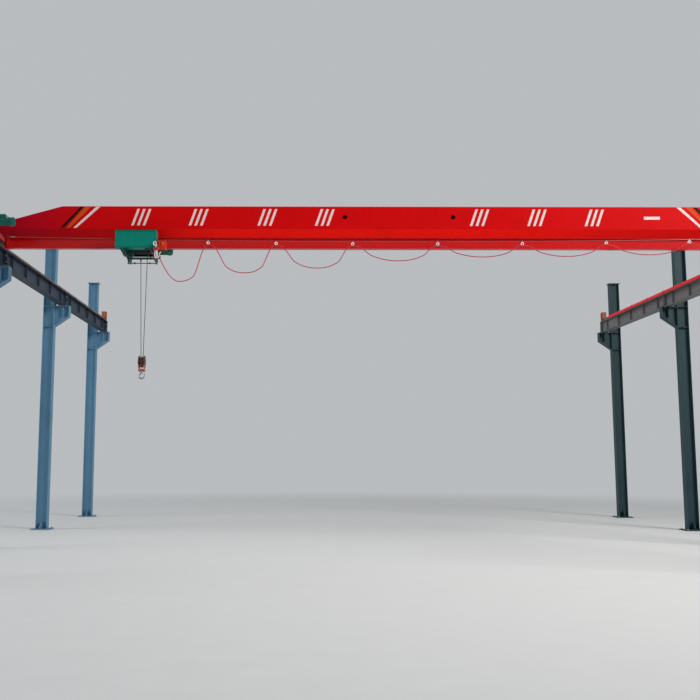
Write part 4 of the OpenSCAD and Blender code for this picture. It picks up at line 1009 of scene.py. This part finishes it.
    def alarm(self):
        """The lens, louvres and screws of the small orange box."""
        front = HOIST + (0.455, -0.335, -0.0147)
        lens = lathe([(0.03, 0.0), (0.034, 0.002), (0.034, 0.008), (0.028, 0.016), (0.016, 0.021), (0.004, 0.023)],
                     axis="y", sides=28)
        piece("alarm_lens", "trolley", "lens", shifted(mirrored(lens, "y"), front + (0, -0.0615, 0.03)))
        piece("alarm_louvres", "trolley", "alarm_orange",
              *[slab(front + (0, -0.0635, -0.035 - 0.011 * n), (0.07, 0.004, 0.004)) for n in range(4)], bevel=0.001)
        bolts("alarm_screws", "trolley", (0.007, "y", -1, around([front], both(0.06), [-0.0618], both(0.078))))


class CRANE_OT_block(bpy.types.Operator):
    """Fit the bottom block's axle nuts, cheek bolts, bearing and latch spring"""

    bl_idname = "crane.block"
    bl_label = "Hook block"

    def execute(self, context):
        cheek = [(-0.045, -0.105), (0.045, -0.105), (-0.045, -0.172), (0.045, -0.172), (0.0, 0.1)]
        bolts("block_bolts", "hook_block",
              *[(0.024, "x", s, [BLOCK + (s * BLOCK_HALF_W, 0, 0)]) for s in SIDES],
              *[(0.012, "x", s, [BLOCK + (s * BLOCK_HALF_W, dy, dz) for dy, dz in cheek]) for s in SIDES],
              slot="hook_steel")
        piece("block_keepers", "hook_block", "block_red", *[
            slab(BLOCK + (s * (BLOCK_HALF_W + 0.002), 0, 0.04), (0.004, 0.05, 0.02)) for s in SIDES], bevel=0.001)
        band = [(0.127, -0.004), (0.1278, -0.003), (0.1278, 0.003), (0.127, 0.004)]
        piece("cheek_edges", "hook_block", "block_red",
              *[lathe(band, BLOCK + (s * 0.053, 0, 0), "x", 48, np.pi) for s in SIDES])
        bearing = [(0.0275, 0.0004), (0.036, 0.0004), (0.036, 0.012), (0.0275, 0.012), (0.0275, 0.0004)]
        piece("hook_bearing", "hook_block", "sheave_orange", lathe(bearing, BLOCK - (0, 0, 0.16), ends=False))
        q = np.linspace(0, 2 * np.pi * 4, 90)
        spring = points(0.0062 * np.cos(q), 0.024 * q / q[-1], 0.0062 * np.sin(q)) + BLOCK - (0.014, 0.012, 0.22)
        piece("latch_spring", "hook_swivel", "latch_steel", tube(spring, 0.0012, 6))
        return {"FINISHED"}


BACKDROP = (0.84, 0.87, 0.9)
SHOWN = 0.58  # strength of the backdrop as it is seen
AMBIENT = 0.36  # and as it lights the crane
FLOOR_HALF = 90.0


def seen_rays(tree):
    """1 on the rays that show the background: straight from the camera, in a reflection or through glass."""
    rays = tree.nodes.new("ShaderNodeLightPath")
    camera, glossy, through_glass = (Socket(tree, rays.outputs[f"Is {kind} Ray"])
                                     for kind in ("Camera", "Glossy", "Transmission"))
    return camera.maths("MAXIMUM", camera.maths("MAXIMUM", camera, glossy), through_glass)


def floor_finish():
    """A pale matt floor that fades to the backdrop with distance."""
    m = Material()
    m.made.name = "Floor"
    m.set(m.noise(2.0, 3.0).mix((0.7, 0.7, 0.69), (0.75, 0.75, 0.74)), 0.7)
    far = m.place.node("ShaderNodeVectorMath", {"operation": "LENGTH"}, {0: m.place}, "Value").smooth(11.0, 30.0)
    glow = m.place.node("ShaderNodeEmission", {}, {"Color": BACKDROP, "Strength": SHOWN})
    blend = m.place.node("ShaderNodeMixShader", {}, {
        0: far * seen_rays(m.tree), 1: Socket(m.tree, m.shader.outputs[0]), 2: glow})
    m.place.feed(m.tree.nodes["Material Output"].inputs[0], blend)
    return m.made


class CRANE_OT_stage(bpy.types.Operator):
    """Set out the pale floor, the backdrop and the soft lights"""

    bl_idname = "crane.stage"
    bl_label = "Studio"

    def execute(self, context):
        world = bpy.data.worlds.new("Studio")
        context.scene.world = world
        world.use_nodes = True
        back = world.node_tree.nodes["Background"]
        seen = seen_rays(world.node_tree)
        seen.feed(back.inputs["Color"], BACKDROP)
        seen.feed(back.inputs["Strength"], seen * (SHOWN - AMBIENT) + AMBIENT)
        mesh = bpy.data.meshes.new("Floor")
        corners = [(x * FLOOR_HALF, y * FLOOR_HALF, 0) for x, y in ((-1, -1), (1, -1), (1, 1), (-1, 1))]
        mesh.from_pydata(corners, [], [(0, 1, 2, 3)])
        mesh.materials.append(floor_finish())
        placed("Floor", mesh)
        key = context.scene.crane_stage.key
        lamps = [("Key", (20, -17, 16), (1, -3, 5), 10, 1.8, key * 0.44, (1, 0.98, 0.95)),
                 ("Side", (-55, -14, 14), (8, 0, 5), 30, np.pi, key * 4, (0.85, 0.93, 1)),
                 ("Top", (0, 2, 18), (0, 0, 0), 16, np.pi, key * 0.08, (1, 1, 1))]
        for name, place, aim, width, spread, power, tint in lamps:
            data = bpy.data.lights.new(name, "AREA")
            data.shape, data.size, data.spread, data.energy, data.color = "SQUARE", width, spread, power, tint
            lamp = placed(name, data)
            lamp.location = place
            lamp.rotation_euler = (Vector(aim) - Vector(place)).to_track_quat("-Z", "Y").to_euler()
        context.scene.view_settings.view_transform = "Standard"
        return {"FINISHED"}


class CRANE_PT_panel(bpy.types.Panel):
    """Lists the crane's operators"""

    bl_label = "Crane"
    bl_idname = "CRANE_PT_panel"
    bl_space_type = "VIEW_3D"
    bl_region_type = "UI"
    bl_category = "Crane"

    def draw(self, context):
        for operator in OPERATORS:
            self.layout.operator(operator.bl_idname)


OPERATORS = [CRANE_OT_camera, CRANE_OT_finishes, CRANE_OT_runway, CRANE_OT_bridge, CRANE_OT_festoon, CRANE_OT_ropes,
             CRANE_OT_hoist, CRANE_OT_block, CRANE_OT_stage]
SETTINGS = {"crane_finish": FinishSettings, "crane_festoon": FestoonSettings, "crane_stage": StageSettings}
CLASSES = [*SETTINGS.values(), *OPERATORS, CRANE_PT_panel]


def register():
    for cls in CLASSES:
        bpy.utils.register_class(cls)
    for name, cls in SETTINGS.items():
        setattr(bpy.types.Scene, name, bpy.props.PointerProperty(type=cls))


def unregister():
    for name in SETTINGS:
        delattr(bpy.types.Scene, name)
    for cls in reversed(CLASSES):
        bpy.utils.unregister_class(cls)


def main():
    """Runs the operators in order."""
    register()
    for operator in OPERATORS:
        group, name = operator.bl_idname.split(".")
        getattr(getattr(bpy.ops, group), name)()


if __name__ == "__main__":
    main()
